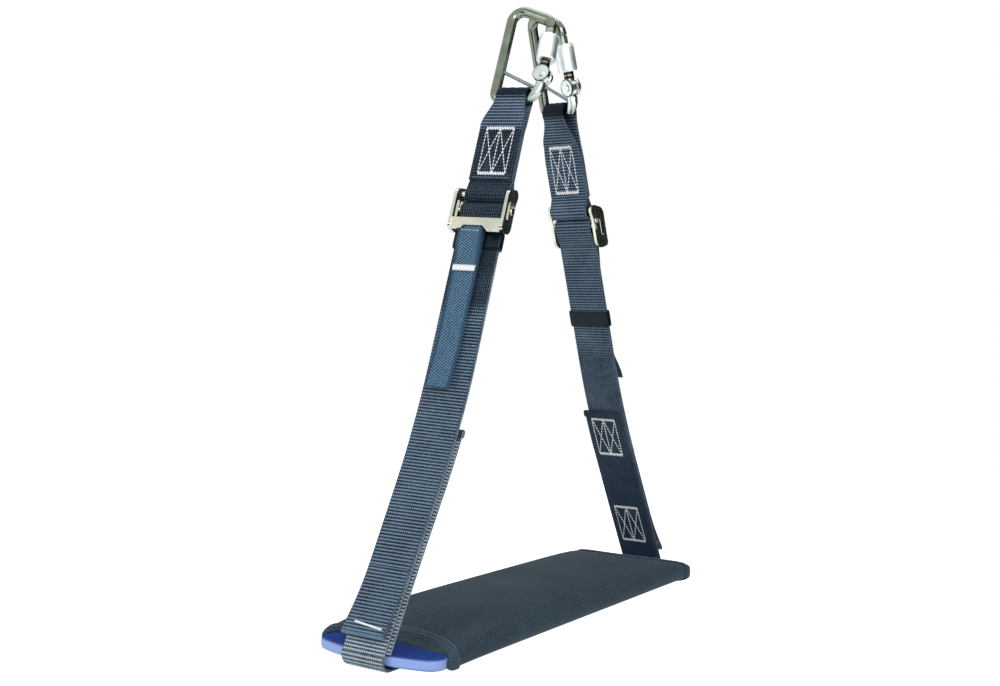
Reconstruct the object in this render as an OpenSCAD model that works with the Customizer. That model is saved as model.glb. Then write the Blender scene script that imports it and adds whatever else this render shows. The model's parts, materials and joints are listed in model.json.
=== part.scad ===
// Hanging work seat: a padded board on two adjustable webbing legs that meet at two twist-lock carabiners.
// Millimetres, +Z up. The origin is the hang point, midway between the two carabiner crowns.
// X runs along the seat, front leg at -X, rear leg at +X. The carabiner gates face -Y.

/* [Seat] */
// Length of the board between the crowns of its round ends
board_l = 484; // [420:1:520]
// Thickness of the board
board_t = 10; // [8:0.5:12]
// How far the round board ends stand out beyond their corners
board_end_sag = 12; // [8:1:20]
// Radius of the board's corners, seen from above
board_corner_r = 24; // [16:1:30]
// Radius on the edges of the board
board_edge_r = 3.5; // [1:0.5:3.9]
// Drop from the hang point to the middle of the board's thickness
seat_drop = 573; // [510:1:650]
// Length of the cover between its corners
cover_l = 440; // [400:1:450]
// Width of the cover
cover_w = 142; // [120:1:160]
// Gap on each side between the board's edge and the cover's cloth
board_side_gap = 4.5; // [2:0.5:12]
// How far the cover's ends are drawn in between the corners
cover_end_sag = 27; // [10:1:34]
// Thickness of the cover's cloth
cloth_t = 1.5; // [1:0.1:1.8]
// Thickness of the foam pad at its middle
foam_t = 11; // [6:0.5:14]
// Extra height of the pad along its middle line
crown = 2.5; // [1:0.5:4]

/* [Hang] */
// Distance of each carabiner's load line from the middle plane at the hang point
hang_gap = 12.9; // [12:0.1:16]
// Turn of the front buckle and webbing about their leg
front_twist = -12; // [-14:1:0]
// Turn of the rear buckle and webbing about their leg
rear_twist = -4; // [-6:1:0]
// Turn of the front carabiner about its leg
front_carabiner_turn = -12; // [-14:1:0]
// Turn of the rear carabiner about its leg
rear_carabiner_turn = -19; // [-20:1:0]
// Lean of the upper leg from the vertical
upper_lean = 18.9; // [17:0.1:20]
// Distance down the leg to the middle of its long bend
knee_at = 410; // [400:5:430]

/* [Webbing] */
// Width of the webbing
web_w = 44.5; // [40:0.5:46]
// Thickness of the webbing
web_t = 2.4; // [1.8:0.1:2.6]
// Distance down the leg to the webbing eye on the carabiner
eye_at = 89.5; // [88:0.5:96]
// Width of the webbing where it is gathered on the carabiner
gather_w = 31; // [26:0.5:31]
// Inside radius of the webbing eye on the carabiner
eye_r = 8; // [7.8:0.1:9]
// Length of the upper loop from eye to buckle bar
loop_l = 101.5; // [98:0.5:130]
// Distance below the buckle over which the leg keeps the buckle's turn
straight_l = 125; // [120:1:140]
// Height of the leg's fold line above the place where it meets the board's rim
fold_rise = 4; // [4:0.5:18]
// Height of the tail's stop hem above the fold line
tail_rise = 3; // [3:0.5:10]
// How far the tail's end stands off the strap
tail_flare = 12; // [8:0.5:13]
// Length of the inner doubler
doubler_l = 190; // [160:1:200]
// Sideways offset of the inner doubler
doubler_shift = 3.5; // [0:0.5:5]

/* [Buckle] */
// Radius of the buckle's upper bar
top_bar_r = 4; // [3:0.1:4]
// Distance from the upper bar to the slide bar
bar_drop = 16.5; // [16.3:0.1:20]
// Radius of the slide bar
slide_bar_r = 4.5; // [4:0.1:5]
// Radius of the slide bar's ends in their slots
journal_r = 3.5; // [2.5:0.1:3.8]
// Travel of the slide bar up its slots
bar_travel = 2; // [1:0.1:2]
// Thickness of the buckle's cheeks
cheek_t = 3; // [2:0.2:4]
// Radius of the round ends of the cheeks
cheek_r = 10; // [9.5:0.1:10.5]
// Distance of the cheeks' middle line from the middle of the strap
cheek_x = 6.5; // [6:0.1:7]
// Thickness of the buckle's lower plate
plate_t = 2.5; // [1.5:0.1:3]
// Height of the buckle's lower plate
plate_h = 11; // [9:0.5:12]
// Radius of the bar that carries the pull tape
tape_bar_r = 1.9; // [1.5:0.1:2]

/* [Keeper and pull tape] */
// Height of the keeper band
keeper_h = 17; // [12:1:20]
// Wall of the keeper band
keeper_t = 1.6; // [1:0.1:1.8]
// Distance from the slide bar to the top of the front keeper
front_keeper_at = 22; // [22:1:40]
// Distance from the slide bar to the top of the rear keeper
rear_keeper_at = 92; // [80:1:100]
// Width of the pull tape
tape_w = 25; // [20:0.5:26]
// Thickness of the pull tape
tape_t = 1.2; // [0.8:0.1:1.4]
// Length of the pull tape below its bar
tape_l = 157; // [140:1:180]
// Sideways offset of the pull tape
tape_shift = 5; // [0:0.5:6]
// Length of the doubled top of the pull tape
tape_fold_l = 42; // [30:1:60]

/* [Carabiner] */
// Radius of the carabiner's bar
bar_r = 5; // [4:0.1:5.2]
// Distance of the spine from the load line at its top
spine_top_y = 15; // [14.5:0.5:18]
// Distance of the spine from the load line at its foot
spine_foot_y = 16.5; // [16.5:0.5:19]
// Distance of the gate hinge from the load line
hinge_y = 29; // [27:0.5:32]
// Height of the gate hinge above the eye
hinge_rise = 24.5; // [24:0.5:26]
// Distance of the nose from the load line
nose_y = 27.5; // [26:0.5:30]
// Drop of the nose's end below the hang point
nose_drop = 14.5; // [14:0.5:18]
// Radius of the captive pin
captive_r = 1.75; // [1.2:0.05:2]
// Radius of the gate's rivet
rivet_r = 2; // [1.5:0.1:2.4]
// Radius of the gate
gate_r = 5; // [4.5:0.1:5.2]
// Radius of the gate's hinge ears
ear_r = 8.5; // [7:0.1:8.5]
// Thickness of the hinge tongue
tongue_t = 4; // [3:0.1:5]
// Radius of the twist sleeve
sleeve_r = 9.5; // [8.5:0.1:10]
// Distance from the hinge to the foot of the sleeve
sleeve_foot = 15.5; // [14:0.5:16]
// Length of the sleeve
sleeve_l = 26.5; // [24:0.5:27]
// Depth of the nose's key in the gate's slot
key_l = 6.5; // [5:0.1:7]
// Thickness of the nose's key
key_t = 3; // [2:0.1:3.4]

/* [Clearances] */
// Gap between layers of cloth and between cloth and metal
soft_gap = 0.3; // [0.3:0.05:0.5]
// Gap between metal pieces that pass each other
metal_gap = 0.3; // [0.3:0.05:0.5]
// Running clearance of pins and sleeves, on the radius
run_gap = 0.06; // [0.03:0.01:0.09]

/* [Hidden] */
$fn = 48;
FRONT = -1;
REAR = 1;

// Seat stack, from the middle of the board
cover_ease = 0.6;
end_foam = 3;
cover_half_end = board_t/2 + cloth_t + cover_ease;
board_w = cover_w - 2*(cloth_t + board_side_gap);
strap_low = cover_half_end + soft_gap + web_t/2;
rim_x = board_l/2 - board_t/2;

// The upper leg runs straight from the hang point. Below a long bend the leg lies tangent to the strap's
// turn round the rim.
bend_reach = 60;
rim = [rim_x, -seat_drop];
knee = [hang_gap, 0] + knee_at*[sin(upper_lean), -cos(upper_lean)];
knee_rim = norm(rim - knee);
lower_lean = atan2(rim[0] - knee[0], knee[1] - rim[1]) + asin(strap_low/knee_rim);
bend_turn = lower_lean - upper_lean;
bend_r = bend_reach/tan(bend_turn/2);
bend_l = bend_r*bend_turn*PI/180;
bend_at = knee_at - bend_reach;
rim_at = bend_at + bend_l + sqrt(pow(knee_rim, 2) - pow(strap_low, 2)) - bend_reach;
fold_at = rim_at - fold_rise;

// Places along the leg, measured down from the hang point
doubler_lift = 3;
fade_lift = 40;
hem_l = 12;
lap_drop = 40;
neck_drop = 34;
neck_rise = 14;
top_bar_at = eye_at + loop_l;
slide_bar_at = top_bar_at + bar_drop;
straight_end = slide_bar_at + straight_l;
doubler_end = rim_at - doubler_lift;
doubler_at = doubler_end - doubler_l;
tail_end = fold_at - tail_rise;

// Buckle: rounds of the cheeks above and below the slide bar, the window beside its slot and the lower plate,
// which has an arch over the tape and a tab at one end
cheek_rise = 9;
cheek_fall = 14;
slot_spare = 3;
slot_ease = 0.1;
eye_wall = 1.5;
window_x = 9.6;
window_r = 2.6;
window_rise = 4;
window_fall = 9;
plate_drop = 13;
arch_h = 3.5;
arch_from = 14.5;
arch_to = -10.5;
arch_slope = 3;
tab_l = 2.5;

// Layers of the leg, as offsets outward from the main strap's middle
settle_l = 20;
wrap_drop = 3;
cheek_gap = 2.25;
tape_slack = 0.4;
tape_ease = 0.2;
tape_bar_drop = 17.5;
layer = web_t + soft_gap;
bar_x = layer/2;
wrap_r = slide_bar_r + soft_gap + web_t/2;
settle_at = slide_bar_at + settle_l;
wrap_foot = slide_bar_at + wrap_drop;
strap_top = wrap_foot + soft_gap;
strap_lead = 2;
tape_x = layer + web_t/2 + keeper_t + 2*soft_gap + tape_t/2 + tape_slack;
tape_turn_r = tape_bar_r + tape_ease + tape_t/2;
tape_bar_x = tape_x + tape_turn_r;
tape_bar_at = slide_bar_at + tape_bar_drop;
plate_x = tape_bar_x + tape_turn_r + tape_t/2 + soft_gap + tape_ease;
cheek_y = web_w/2 + cheek_gap;

// Carabiner points, in the plane of the spine and gate
ear_gap = 0.6;
captive_rise = 30.5;
captive_arm_rise = 9.5;
captive_arm_in = 1.4;
gather_shift = -4.8;
gather_rise = -2;
flare_l = 18;
head_clear = 6;
head_l = 45;
eye_z = -eye_at;
hinge = [-hinge_y, eye_z + hinge_rise];
nose = [-nose_y, -nose_drop];
gate_l = norm(nose - hinge);
gate_turn = atan2(nose[0] - hinge[0], nose[1] - hinge[1]);
foot_bend = [0.5 - hinge_y, eye_z];
arm_dir = (hinge - foot_bend)/norm(hinge - foot_bend);
arm_end = hinge - arm_dir*(ear_r + ear_gap);
captive_spine = [(spine_top_y + spine_foot_y)/2, eye_z + captive_rise];
captive_arm = foot_bend + [captive_arm_in, captive_arm_rise];
crown_low = [-nose_y, -1.1*bar_r];
crown_high = [spine_top_y, 2.1*bar_r];
frame_path = [nose, crown_low, crown_high, [spine_foot_y, eye_z], foot_bend, arm_end];
frame_bends = [0, 12, 11, 7, 14.5, 0];
ear_step = 1;
fork_gap = 0.8;
gate_top = gate_l - 0.8;
slot_floor = gate_l - key_l - 1;
spring_bore_r = 2.7;
gate_wire_r = 0.45;
sleeve_wire_r = 0.5;
plunger_foot = ear_r - 0.7;
plunger_l = 6.5;
bore_end = sleeve_foot + sleeve_l - 8;
pocket_r = gate_r + 2;
pocket_foot = 4;
pocket_l = sleeve_l - 10;
weld_l = 0.4;
weld_step = 0.02;
spring_foot = plunger_foot + plunger_l + soft_gap;

function twist_of(side) = side == FRONT ? front_twist : rear_twist;
function carabiner_turn_of(side) = side == FRONT ? front_carabiner_turn : rear_carabiner_turn;
function keeper_at(side) = slide_bar_at + (side == FRONT ? front_keeper_at : rear_keeper_at);
function smooth(t) = t*t*(3 - 2*t);
function share(t) = smooth(max(0, min(1, t)));
// Turn of the webbing about the leg at a height z: the carabiner's at the eye, then the buckle's, fading out
// towards the seat
function turn_at(z, full, head) =
    full*(1 - share((-z - straight_end)/(doubler_end - fade_lift - straight_end)))
    + (head - full)*(1 - share((-z - eye_at - head_clear)/head_l));
// Carries a point of the straightened leg, (outward, up), onto the bent leg
function bend_leg(p) =
    let (past = max(0, -p[1] - bend_at), t = min(bend_turn, past/bend_r*180/PI), rest = max(0, past - bend_l))
    [bend_r*(1 - cos(t)) + rest*sin(t) + p[0]*cos(t),
     max(p[1], -bend_at) - bend_r*sin(t) - rest*cos(t) + p[0]*sin(t)];
// Share of gathering of the upper loop at a height z: whole on the carabiner, none below the flare
function gathering(z) = 1 - share((eye_z + gather_rise - z)/flare_l);
function arc_points(c, r, from, to, n) =
    [for (i = [0:n]) let (a = from + (to - from)*i/n) [c[0] + r*cos(a), c[1] + r*sin(a)]];
// Straight runs between points, without repeating the corners
function run_points(pts, step) =
    [for (i = [0:len(pts) - 2])
        let (d = pts[i + 1] - pts[i], n = max(1, round(norm(d)/step)))
        each [for (k = [0:n - 1]) pts[i] + d*k/n],
     pts[len(pts) - 1]];
function path_dir(p, i) =
    let (a = p[max(i - 1, 0)], b = p[min(i + 1, len(p) - 1)]) (b - a)/norm(b - a);

module on_leg(side) {
    if (side == REAR) translate([hang_gap, 0, 0]) rotate([0, -upper_lean, 0]) children();
    else mirror([1, 0, 0]) translate([hang_gap, 0, 0]) rotate([0, -upper_lean, 0]) children();
}
// The buckle and keeper share the webbing's turn about the leg
module on_turned_leg(side) {
    on_leg(side) rotate([0, 0, twist_of(side)]) children();
}
module on_carabiner(side) {
    on_leg(side) rotate([0, 0, carabiner_turn_of(side)]) children();
}
// Stands a drawing of (outward, up) on edge and gives it a width across the leg
module across_leg(width, shift = 0) {
    translate([0, shift + width/2, 0]) rotate([90, 0, 0]) linear_extrude(width) children();
}
// Stands a drawing of (across, up) in the carabiner's plane
module in_plane() {
    rotate([90, 0, 90]) children();
}
// Closed skin through rings of points, each ring with n points
module skin(rings, n) {
    m = len(rings);
    pts = [for (r = rings) each r];
    sides = [for (i = [0:m - 2]) for (j = [0:n - 1]) let (k = (j + 1) % n)
        each [[i*n + j, i*n + k, (i + 1)*n + k], [i*n + j, (i + 1)*n + k, (i + 1)*n + j]]];
    caps = [for (j = [1:n - 2]) each [[0, j + 1, j], [(m - 1)*n, (m - 1)*n + j, (m - 1)*n + j + 1]]];
    polyhedron(pts, concat(sides, caps));
}
// Flat band of webbing along a path of (outward, up) points of the straightened leg, turned about the leg
// with height and laid on the bent leg
module band(path, width, thick, full_turn = 0, shift = 0, bent = true, gathered = false, head_turn = undef) {
    head = is_undef(head_turn) ? full_turn : head_turn;
    skin([for (i = [0:len(path) - 1])
        let (d = path_dir(path, i), c = path[i], a = bent ? turn_at(c[1], full_turn, head) : 0,
             g = gathered ? gathering(c[1]) : 0,
             half = (width + (gather_w - width)*g)/2, mid = shift + gather_shift*g)
        [for (k = [[1, 1], [-1, 1], [-1, -1], [1, -1]])
            let (x = c[0] - d[1]*k[0]*thick/2, y = mid + k[1]*half, z = c[1] + d[0]*k[0]*thick/2,
                 turned = [x*cos(a) - y*sin(a), z], q = bent ? bend_leg(turned) : turned)
            [q[0], x*sin(a) + y*cos(a), q[1]]]], 4);
}
// Helical spring along +Z, with n turns
module coil(mean_r, wire_r, length, n) {
    steps = n*8;
    skin([for (i = [0:steps])
        let (a = i*45, rise = (length - 2*wire_r)/steps, slope = atan2(rise*steps, n*360*PI/180*mean_r))
        [for (j = [0:5]) let (b = j*60, u = wire_r*cos(b), v = wire_r*sin(b))
            [(mean_r + u)*cos(a) + v*sin(slope)*sin(a), (mean_r + u)*sin(a) - v*sin(slope)*cos(a),
             wire_r + i*rise + v*cos(slope)]]], 6);
}
// Two circles joined by their outer tangents
module teardrop(c1, r1, c2, r2) {
    d = norm(c2 - c1);
    u = (c1 - c2)/d;
    across = [-u[1], u[0]];
    s = (r2 - r1)/d;
    c = sqrt(1 - s*s);
    translate(c1) circle(r1);
    translate(c2) circle(r2);
    left = s*u + c*across;
    right = s*u - c*across;
    polygon([c1 + r1*left, c2 + r2*left, c2 + r2*right, c1 + r1*right]);
}
// Round bar along a bent path: straight lengths, a hair thinner, let into bends of the given radii
module bent_bar(path, bends, r) {
    n = len(path);
    turns = [for (i = [0:n - 1]) i == 0 || i == n - 1 ? 0 :
        let (a = path[i] - path[i - 1], b = path[i + 1] - path[i])
        atan2(a[0]*b[1] - a[1]*b[0], a[0]*b[0] + a[1]*b[1])];
    trims = [for (i = [0:n - 1]) bends[i]*tan(abs(turns[i])/2)];
    for (i = [0:n - 2]) {
        d = (path[i + 1] - path[i])/norm(path[i + 1] - path[i]);
        head = i == 0 ? 0 : weld_l;
        tail = i == n - 2 ? 0 : weld_l;
        from = path[i] + d*(trims[i] - head);
        length = norm(path[i + 1] - path[i]) - trims[i] - trims[i + 1] + head + tail;
        translate(from) rotate([0, 90, atan2(d[1], d[0])]) cylinder(h = length, r = r - weld_step);
    }
    for (i = [1:n - 2]) {
        d = (path[i] - path[i - 1])/norm(path[i] - path[i - 1]);
        hand = sign(turns[i]);
        start = path[i] - d*trims[i];
        centre = start + hand*bends[i]*[-d[1], d[0]];
        a0 = atan2(start[1] - centre[1], start[0] - centre[0]);
        translate(centre) rotate([0, 0, hand > 0 ? a0 : a0 + turns[i]])
            rotate_extrude(angle = abs(turns[i])) translate([bends[i], 0]) circle(r);
    }
}

// Half width of the board at the middle and radius of its round ends
board_end_r = (pow(board_w/2, 2) + pow(board_end_sag, 2))/(2*board_end_sag);
module board_end(side) {
    r = board_edge_r;
    translate([side*(board_l/2 - board_end_r), 0, 0]) rotate_extrude($fn = 96) {
        translate([0, -board_t/2]) square([board_end_r - r, board_t]);
        translate([0, -board_t/2 + r]) square([board_end_r, board_t - 2*r]);
        for (z = [-1, 1]) translate([board_end_r - r, z*(board_t/2 - r)]) circle(r);
    }
}
module seat_board() color("royalblue") translate([0, 0, -seat_drop]) intersection() {
    r = board_edge_r;
    union() {
        board_end(FRONT);
        board_end(REAR);
        cube([board_l - 2*board_end_r, board_w, board_t], center = true);
    }
    rotate([90, 0, 90]) linear_extrude(board_l, center = true) {
        square([board_w - 2*r, board_t], center = true);
        square([board_w, board_t - 2*r], center = true);
        for (y = [-1, 1]) for (z = [-1, 1]) translate([y*(board_w/2 - r), z*(board_t/2 - r)]) circle(r);
    }
    linear_extrude(board_t, center = true) offset(board_corner_r)
        square([board_l - 2*board_corner_r, board_w - 2*board_corner_r], center = true);
}
// Crowned pad outline: a boxy ring at each station, thinner towards the ends, which are drawn in.
// Outlines of different inset share one profile, so the cloth between them keeps its thickness.
module pillow(inset, square_power, longer = 0, stations = 16, around = 32) {
    half_w = cover_w/2 - inset;
    low = inset - cover_half_end;
    inner_stops = [for (i = [0:stations]) [sin(90*(2*i/stations - 1)), 0]];
    stops = longer > 0 ? concat([[-1, -longer]], inner_stops, [[1, longer]]) : inner_stops;
    skin([for (stop = stops)
        let (rise = 1 - pow(abs(stop[0]), 10), high = end_foam + (foam_t + soft_gap - end_foam)*rise - low)
        [for (j = [0:around - 1])
            let (a = -360*j/around, c = cos(a), s = sin(a),
                 y = half_w*sign(c)*pow(abs(c), 2/square_power),
                 v = sign(s)*pow(abs(s), 2/square_power),
                 reach = cover_l/2 - cover_end_sag*(1 - pow(2*y/cover_w, 2)),
                 bow = crown*rise*(1 - pow(y/half_w, 2)))
            [stop[0]*reach + stop[1], y, (high + low)/2 + v*(high - low)/2 + max(v, 0)*bow]]], around);
}
module seat_cover() color("darkslategray") translate([0, 0, -seat_drop]) difference() {
    pillow(0, 6);
    pillow(cloth_t, 10, 12);
}
module foam_pad() color("lightgray") translate([0, 0, -seat_drop]) intersection() {
    setback = 12;
    foam_l = cover_l - 2*(cover_end_sag + setback);
    pillow(cloth_t + soft_gap, 8);
    translate([-foam_l/2, -cover_w/2, board_t/2 + soft_gap]) cube([foam_l, cover_w, 2*(foam_t + crown)]);
}
// Load strap: up both rims to the fold lines, tangent to the legs, and flat under the seat
module under_seat_strap() color("midnightblue") {
    turn = arc_points(rim, strap_low, lower_lean, -90, 10);
    top = turn[0] + (fold_rise - soft_gap)*[-sin(lower_lean), cos(lower_lean)];
    half = concat([top], turn);
    other = [for (p = half) [-p[0], p[1]]];
    band(concat(other, [for (i = [len(half) - 1:-1:0]) half[i]]), web_w, web_t, bent = false);
}
// Sewn loop of webbing: from inside the lap down round the buckle's upper bar, up the inner side, round the
// carabiner's foot and down the outer side over the lap
module upper_loop(side) color("midnightblue") on_leg(side) {
    lap_top = eye_at + lap_drop;
    neck = eye_at + neck_drop;
    low_neck = top_bar_at - neck_rise;
    inner = -layer/2;
    outer = 1.5*layer;
    low_eye = arc_points([0, -top_bar_at], top_bar_r + soft_gap + web_t/2, 25, -205, 14);
    high_eye = arc_points([0, eye_z], eye_r + web_t/2, 200, -20, 16);
    down = run_points([[layer/2, -lap_top], [layer/2, -low_neck]], 15);
    up = run_points([[inner, -low_neck], [inner, -neck]], 15);
    over = run_points([[outer, -neck], [outer, -low_neck]], 15);
    band(concat(down, low_eye, up, high_eye, over), web_w, web_t, twist_of(side),
        gathered = true, head_turn = carabiner_turn_of(side));
}
// Steel buckle: two round-ended cheeks joined by the upper bar, the tape's bar and the lower plate
module buckle_frame(side) color("darkkhaki") on_turned_leg(side) {
    bar_z = -slide_bar_at;
    slot_r = journal_r + slot_ease;
    upper = [cheek_x, bar_z + cheek_rise];
    lower = [cheek_x, bar_z - cheek_fall];
    corner = [plate_x + plate_t/2 - cheek_r*0.2, bar_z - cheek_fall - cheek_r*0.6];
    for (y = [-1, 1]) across_leg(cheek_t, y*(cheek_y + cheek_t/2)) difference() {
        union() {
            teardrop(lower, cheek_r, upper, cheek_r);
            teardrop(upper, cheek_r, [0, -top_bar_at], top_bar_r + eye_wall);
            teardrop(lower, cheek_r, corner, cheek_r*0.4);
        }
        teardrop([bar_x, bar_z], slot_r, [bar_x, bar_z + bar_travel + slot_spare], slot_r);
        teardrop([window_x, bar_z + window_rise], window_r, [window_x, bar_z - window_fall], window_r);
    }
    translate([0, cheek_y, -top_bar_at]) rotate([90, 0, 0]) cylinder(h = 2*cheek_y, r = top_bar_r);
    translate([tape_bar_x, cheek_y, -tape_bar_at]) rotate([90, 0, 0]) cylinder(h = 2*cheek_y, r = tape_bar_r);
    translate([plate_x, 0, 0]) in_plane() linear_extrude(plate_t) lower_plate(-side);
}
// Outline of the lower plate, with its arch and its tab on the given hand
module lower_plate(hand) {
    top = -slide_bar_at - plate_drop;
    foot = top - plate_h;
    polygon([for (p = [[cheek_y, top], [-cheek_y, top], [-cheek_y, foot - tab_l],
                       [arch_to - arch_slope, foot - tab_l], [arch_to + arch_slope, foot + arch_h],
                       [arch_from - arch_slope, foot + arch_h], [arch_from, foot], [cheek_y, foot]])
        [hand*p[0], p[1]]]);
}
// Round bar that slides in the cheeks' slots and clamps the webbing
module slide_bar(side) color("silver") on_turned_leg(side)
    translate([bar_x, 0, -slide_bar_at]) rotate([90, 0, 0]) {
        stub_l = 0.8;
        cylinder(h = 2*(cheek_y - metal_gap), r = slide_bar_r, center = true);
        cylinder(h = 2*(cheek_y + cheek_t + stub_l), r = journal_r, center = true);
    }
// The turn of the adjusting strap over the slide bar
module bar_wrap(side) color("midnightblue") on_leg(side) {
    c = [bar_x, -slide_bar_at];
    turn = arc_points(c, wrap_r, 180, 0, 12);
    band(concat([[bar_x - wrap_r, -wrap_foot]], turn, [[bar_x + wrap_r, -wrap_foot]]),
        web_w, web_t, twist_of(side));
}
// Load-bearing run of the adjusting strap, from the slide bar down to the fold line
module main_strap(side) color("midnightblue") on_leg(side) {
    top = [bar_x - wrap_r, -strap_top];
    band(run_points([top, top - [0, strap_lead], [0, -settle_at], [0, -fold_at]], 15),
        web_w, web_t, twist_of(side));
}
// Free tail of the adjusting strap, ending in a folded stop hem that stands off the strap
module strap_tail(side) color("midnightblue") on_leg(side) {
    hem = [layer + tail_flare, -tail_end + layer/2 + web_t/2];
    lift_l = 45;
    turn_c = hem - [layer/2, 0];
    fold = arc_points(turn_c, layer/2, 0, -180, 8);
    top = [bar_x + wrap_r, -strap_top];
    run = [top, top - [0, strap_lead], [layer, -settle_at], [layer, -tail_end + lift_l],
           hem + [0, hem_l], hem];
    band(concat(run_points(run, 15), [for (i = [1:8]) fold[i]], [turn_c + [-layer/2, hem_l]]),
        web_w, web_t, twist_of(side));
}
// Inner doubler with a folded top hem, ending just above the board
module inner_doubler(side) color("midnightblue") on_leg(side) {
    top = [-1.5*layer, -doubler_at - layer/2 - web_t/2];
    fold = arc_points(top, layer/2, 180, 0, 8);
    run = [top + [layer/2, -hem_l], [-layer, -doubler_end]];
    band(concat([top + [-layer/2, -hem_l]], fold, run_points(run, 15)),
        web_w, web_t, twist_of(side), side*doubler_shift);
}
// Black band that holds the tail against the strap
module strap_keeper(side) color("black") on_turned_leg(side) {
    low = -web_t/2 - soft_gap;
    deep = layer + web_t + 2*soft_gap;
    wide = web_w + 2*soft_gap;
    translate([low, -wide/2, -keeper_at(side) - keeper_h]) difference() {
        translate([-keeper_t, -keeper_t, 0]) cube([deep + 2*keeper_t, wide + 2*keeper_t, keeper_h]);
        translate([0, 0, -1]) cube([deep, wide, keeper_h + 2]);
    }
}
// Narrow tape looped on the buckle's lower bar, sewn back on itself and hanging free
module pull_tape(side) color("slategray") on_leg(side) {
    c = [tape_bar_x, -tape_bar_at];
    end = -tape_bar_at - tape_l;
    lift = 4;
    lift_l = 45;
    fold_end = [tape_x + tape_t + soft_gap, -tape_bar_at - tape_fold_l];
    run = run_points([[tape_x, -tape_bar_at - 10], [tape_x, end + lift_l], [tape_x + lift, end]], 15);
    band(concat([fold_end], arc_points(c, tape_turn_r, 0, 180, 10), run),
        tape_w, tape_t, twist_of(side), -side*tape_shift);
}
// Bent steel frame with the nose's key, the hinge tongue and the drillings for the captive pin
module carabiner_frame(side) color("darkkhaki") on_carabiner(side) in_plane() difference() {
    root = 2;
    key_w = 7;
    tongue_w = 8;
    union() {
        bent_bar(frame_path, frame_bends, bar_r);
        translate(nose) rotate([0, 0, -gate_turn]) translate([-key_w/2, -key_l, -key_t/2])
            cube([key_w, key_l + root, key_t]);
        translate([hinge[0], hinge[1], -tongue_t/2]) cylinder(h = tongue_t, r = plunger_foot - metal_gap);
        translate(arm_end - arm_dir*root) rotate([0, 0, atan2(arm_dir[1], arm_dir[0])])
            translate([0, -tongue_w/2, -tongue_t/2]) cube([ear_r + ear_gap + root, tongue_w, tongue_t]);
    }
    translate([hinge[0], hinge[1], -10]) cylinder(h = 20, r = rivet_r + run_gap/2);
    captive_line(captive_r + run_gap/2);
}
module captive_line(r) {
    d = captive_arm - captive_spine;
    translate(captive_spine) rotate([0, 90, atan2(d[1], d[0])]) cylinder(h = norm(d), r = r);
}
// Thin cross pin that keeps the webbing at the carabiner's foot
module captive_pin(side) color("silver") on_carabiner(side) in_plane() captive_line(captive_r);
module gate_rivet(side) color("silver") on_carabiner(side) in_plane() translate(hinge) {
    head_h = 1.2;
    reach = gate_r + ear_step + metal_gap;
    cylinder(h = 2*reach + head_h, r = rivet_r, center = true);
    for (x = [-1, 1]) translate([0, 0, x*(reach + head_h/2)])
        cylinder(h = head_h, r = rivet_r + 1.6, center = true);
}
// Puts a piece drawn along +Z on the gate's axis, measured from the hinge
module on_gate(side) {
    on_carabiner(side) in_plane() translate(hinge) rotate([0, 0, -gate_turn]) rotate([-90, 0, 0]) children();
}
// Gate bar with forked ears at the hinge, a slot for the nose's key and a bore for its spring
module gate(side) color("dimgray") on_gate(side) difference() {
    union() {
        cylinder(h = gate_top, r = gate_r);
        rotate([90, 0, 0]) cylinder(h = 2*(gate_r + ear_step), r = ear_r, center = true);
    }
    fork = tongue_t + 2*metal_gap;
    translate([-20, -fork/2, -20]) cube([40, fork, 20 + ear_r + fork_gap]);
    rotate([90, 0, 0]) cylinder(h = 40, r = rivet_r + run_gap, center = true);
    slot = key_t + 2*metal_gap;
    translate([-20, -slot/2, slot_floor]) cube([40, slot, key_l + 10]);
    cylinder(h = bore_end, r = spring_bore_r);
}
// Blunt pin that the gate's spring presses on the hinge tongue
module gate_plunger(side) color("silver") on_gate(side)
    translate([0, 0, plunger_foot]) cylinder(h = plunger_l, r = spring_bore_r - run_gap);
module gate_spring(side) color("gray") on_gate(side)
    translate([0, 0, spring_foot])
        coil(spring_bore_r - 0.8, gate_wire_r, bore_end - soft_gap - spring_foot, 9);
// Twist sleeve with bevelled ends and a pocket for its spring
module twist_sleeve(side) color("silver") on_gate(side) translate([0, 0, sleeve_foot]) difference() {
    bore_r = gate_r + run_gap;
    rotate_extrude() polygon([[bore_r, 0], [sleeve_r - 1, 0], [sleeve_r, 1.5], [sleeve_r, sleeve_l - 3],
        [sleeve_r - 1.2, sleeve_l], [bore_r, sleeve_l]]);
    translate([0, 0, pocket_foot]) difference() {
        cylinder(h = pocket_l, r = pocket_r);
        cylinder(h = pocket_l, r = gate_r - 1);
    }
}
module sleeve_spring(side) color("gray") on_gate(side)
    translate([0, 0, sleeve_foot + pocket_foot + soft_gap])
        coil(gate_r + 1, sleeve_wire_r, pocket_l - 2*soft_gap, 7);

seat_board();
foam_pad();
seat_cover();
under_seat_strap();
upper_loop(FRONT);  // front_upper_loop
buckle_frame(FRONT);  // front_buckle_frame
slide_bar(FRONT);  // front_slide_bar
bar_wrap(FRONT);  // front_bar_wrap
main_strap(FRONT);  // front_main_strap
strap_tail(FRONT);  // front_strap_tail
inner_doubler(FRONT);  // front_inner_doubler
strap_keeper(FRONT);  // front_strap_keeper
pull_tape(FRONT);  // front_pull_tape
carabiner_frame(FRONT);  // front_carabiner_frame
captive_pin(FRONT);  // front_captive_pin
gate_rivet(FRONT);  // front_gate_rivet
gate(FRONT);  // front_gate
gate_plunger(FRONT);  // front_gate_plunger
gate_spring(FRONT);  // front_gate_spring
twist_sleeve(FRONT);  // front_twist_sleeve
sleeve_spring(FRONT);  // front_sleeve_spring
upper_loop(REAR);  // rear_upper_loop
buckle_frame(REAR);  // rear_buckle_frame
slide_bar(REAR);  // rear_slide_bar
bar_wrap(REAR);  // rear_bar_wrap
main_strap(REAR);  // rear_main_strap
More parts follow.
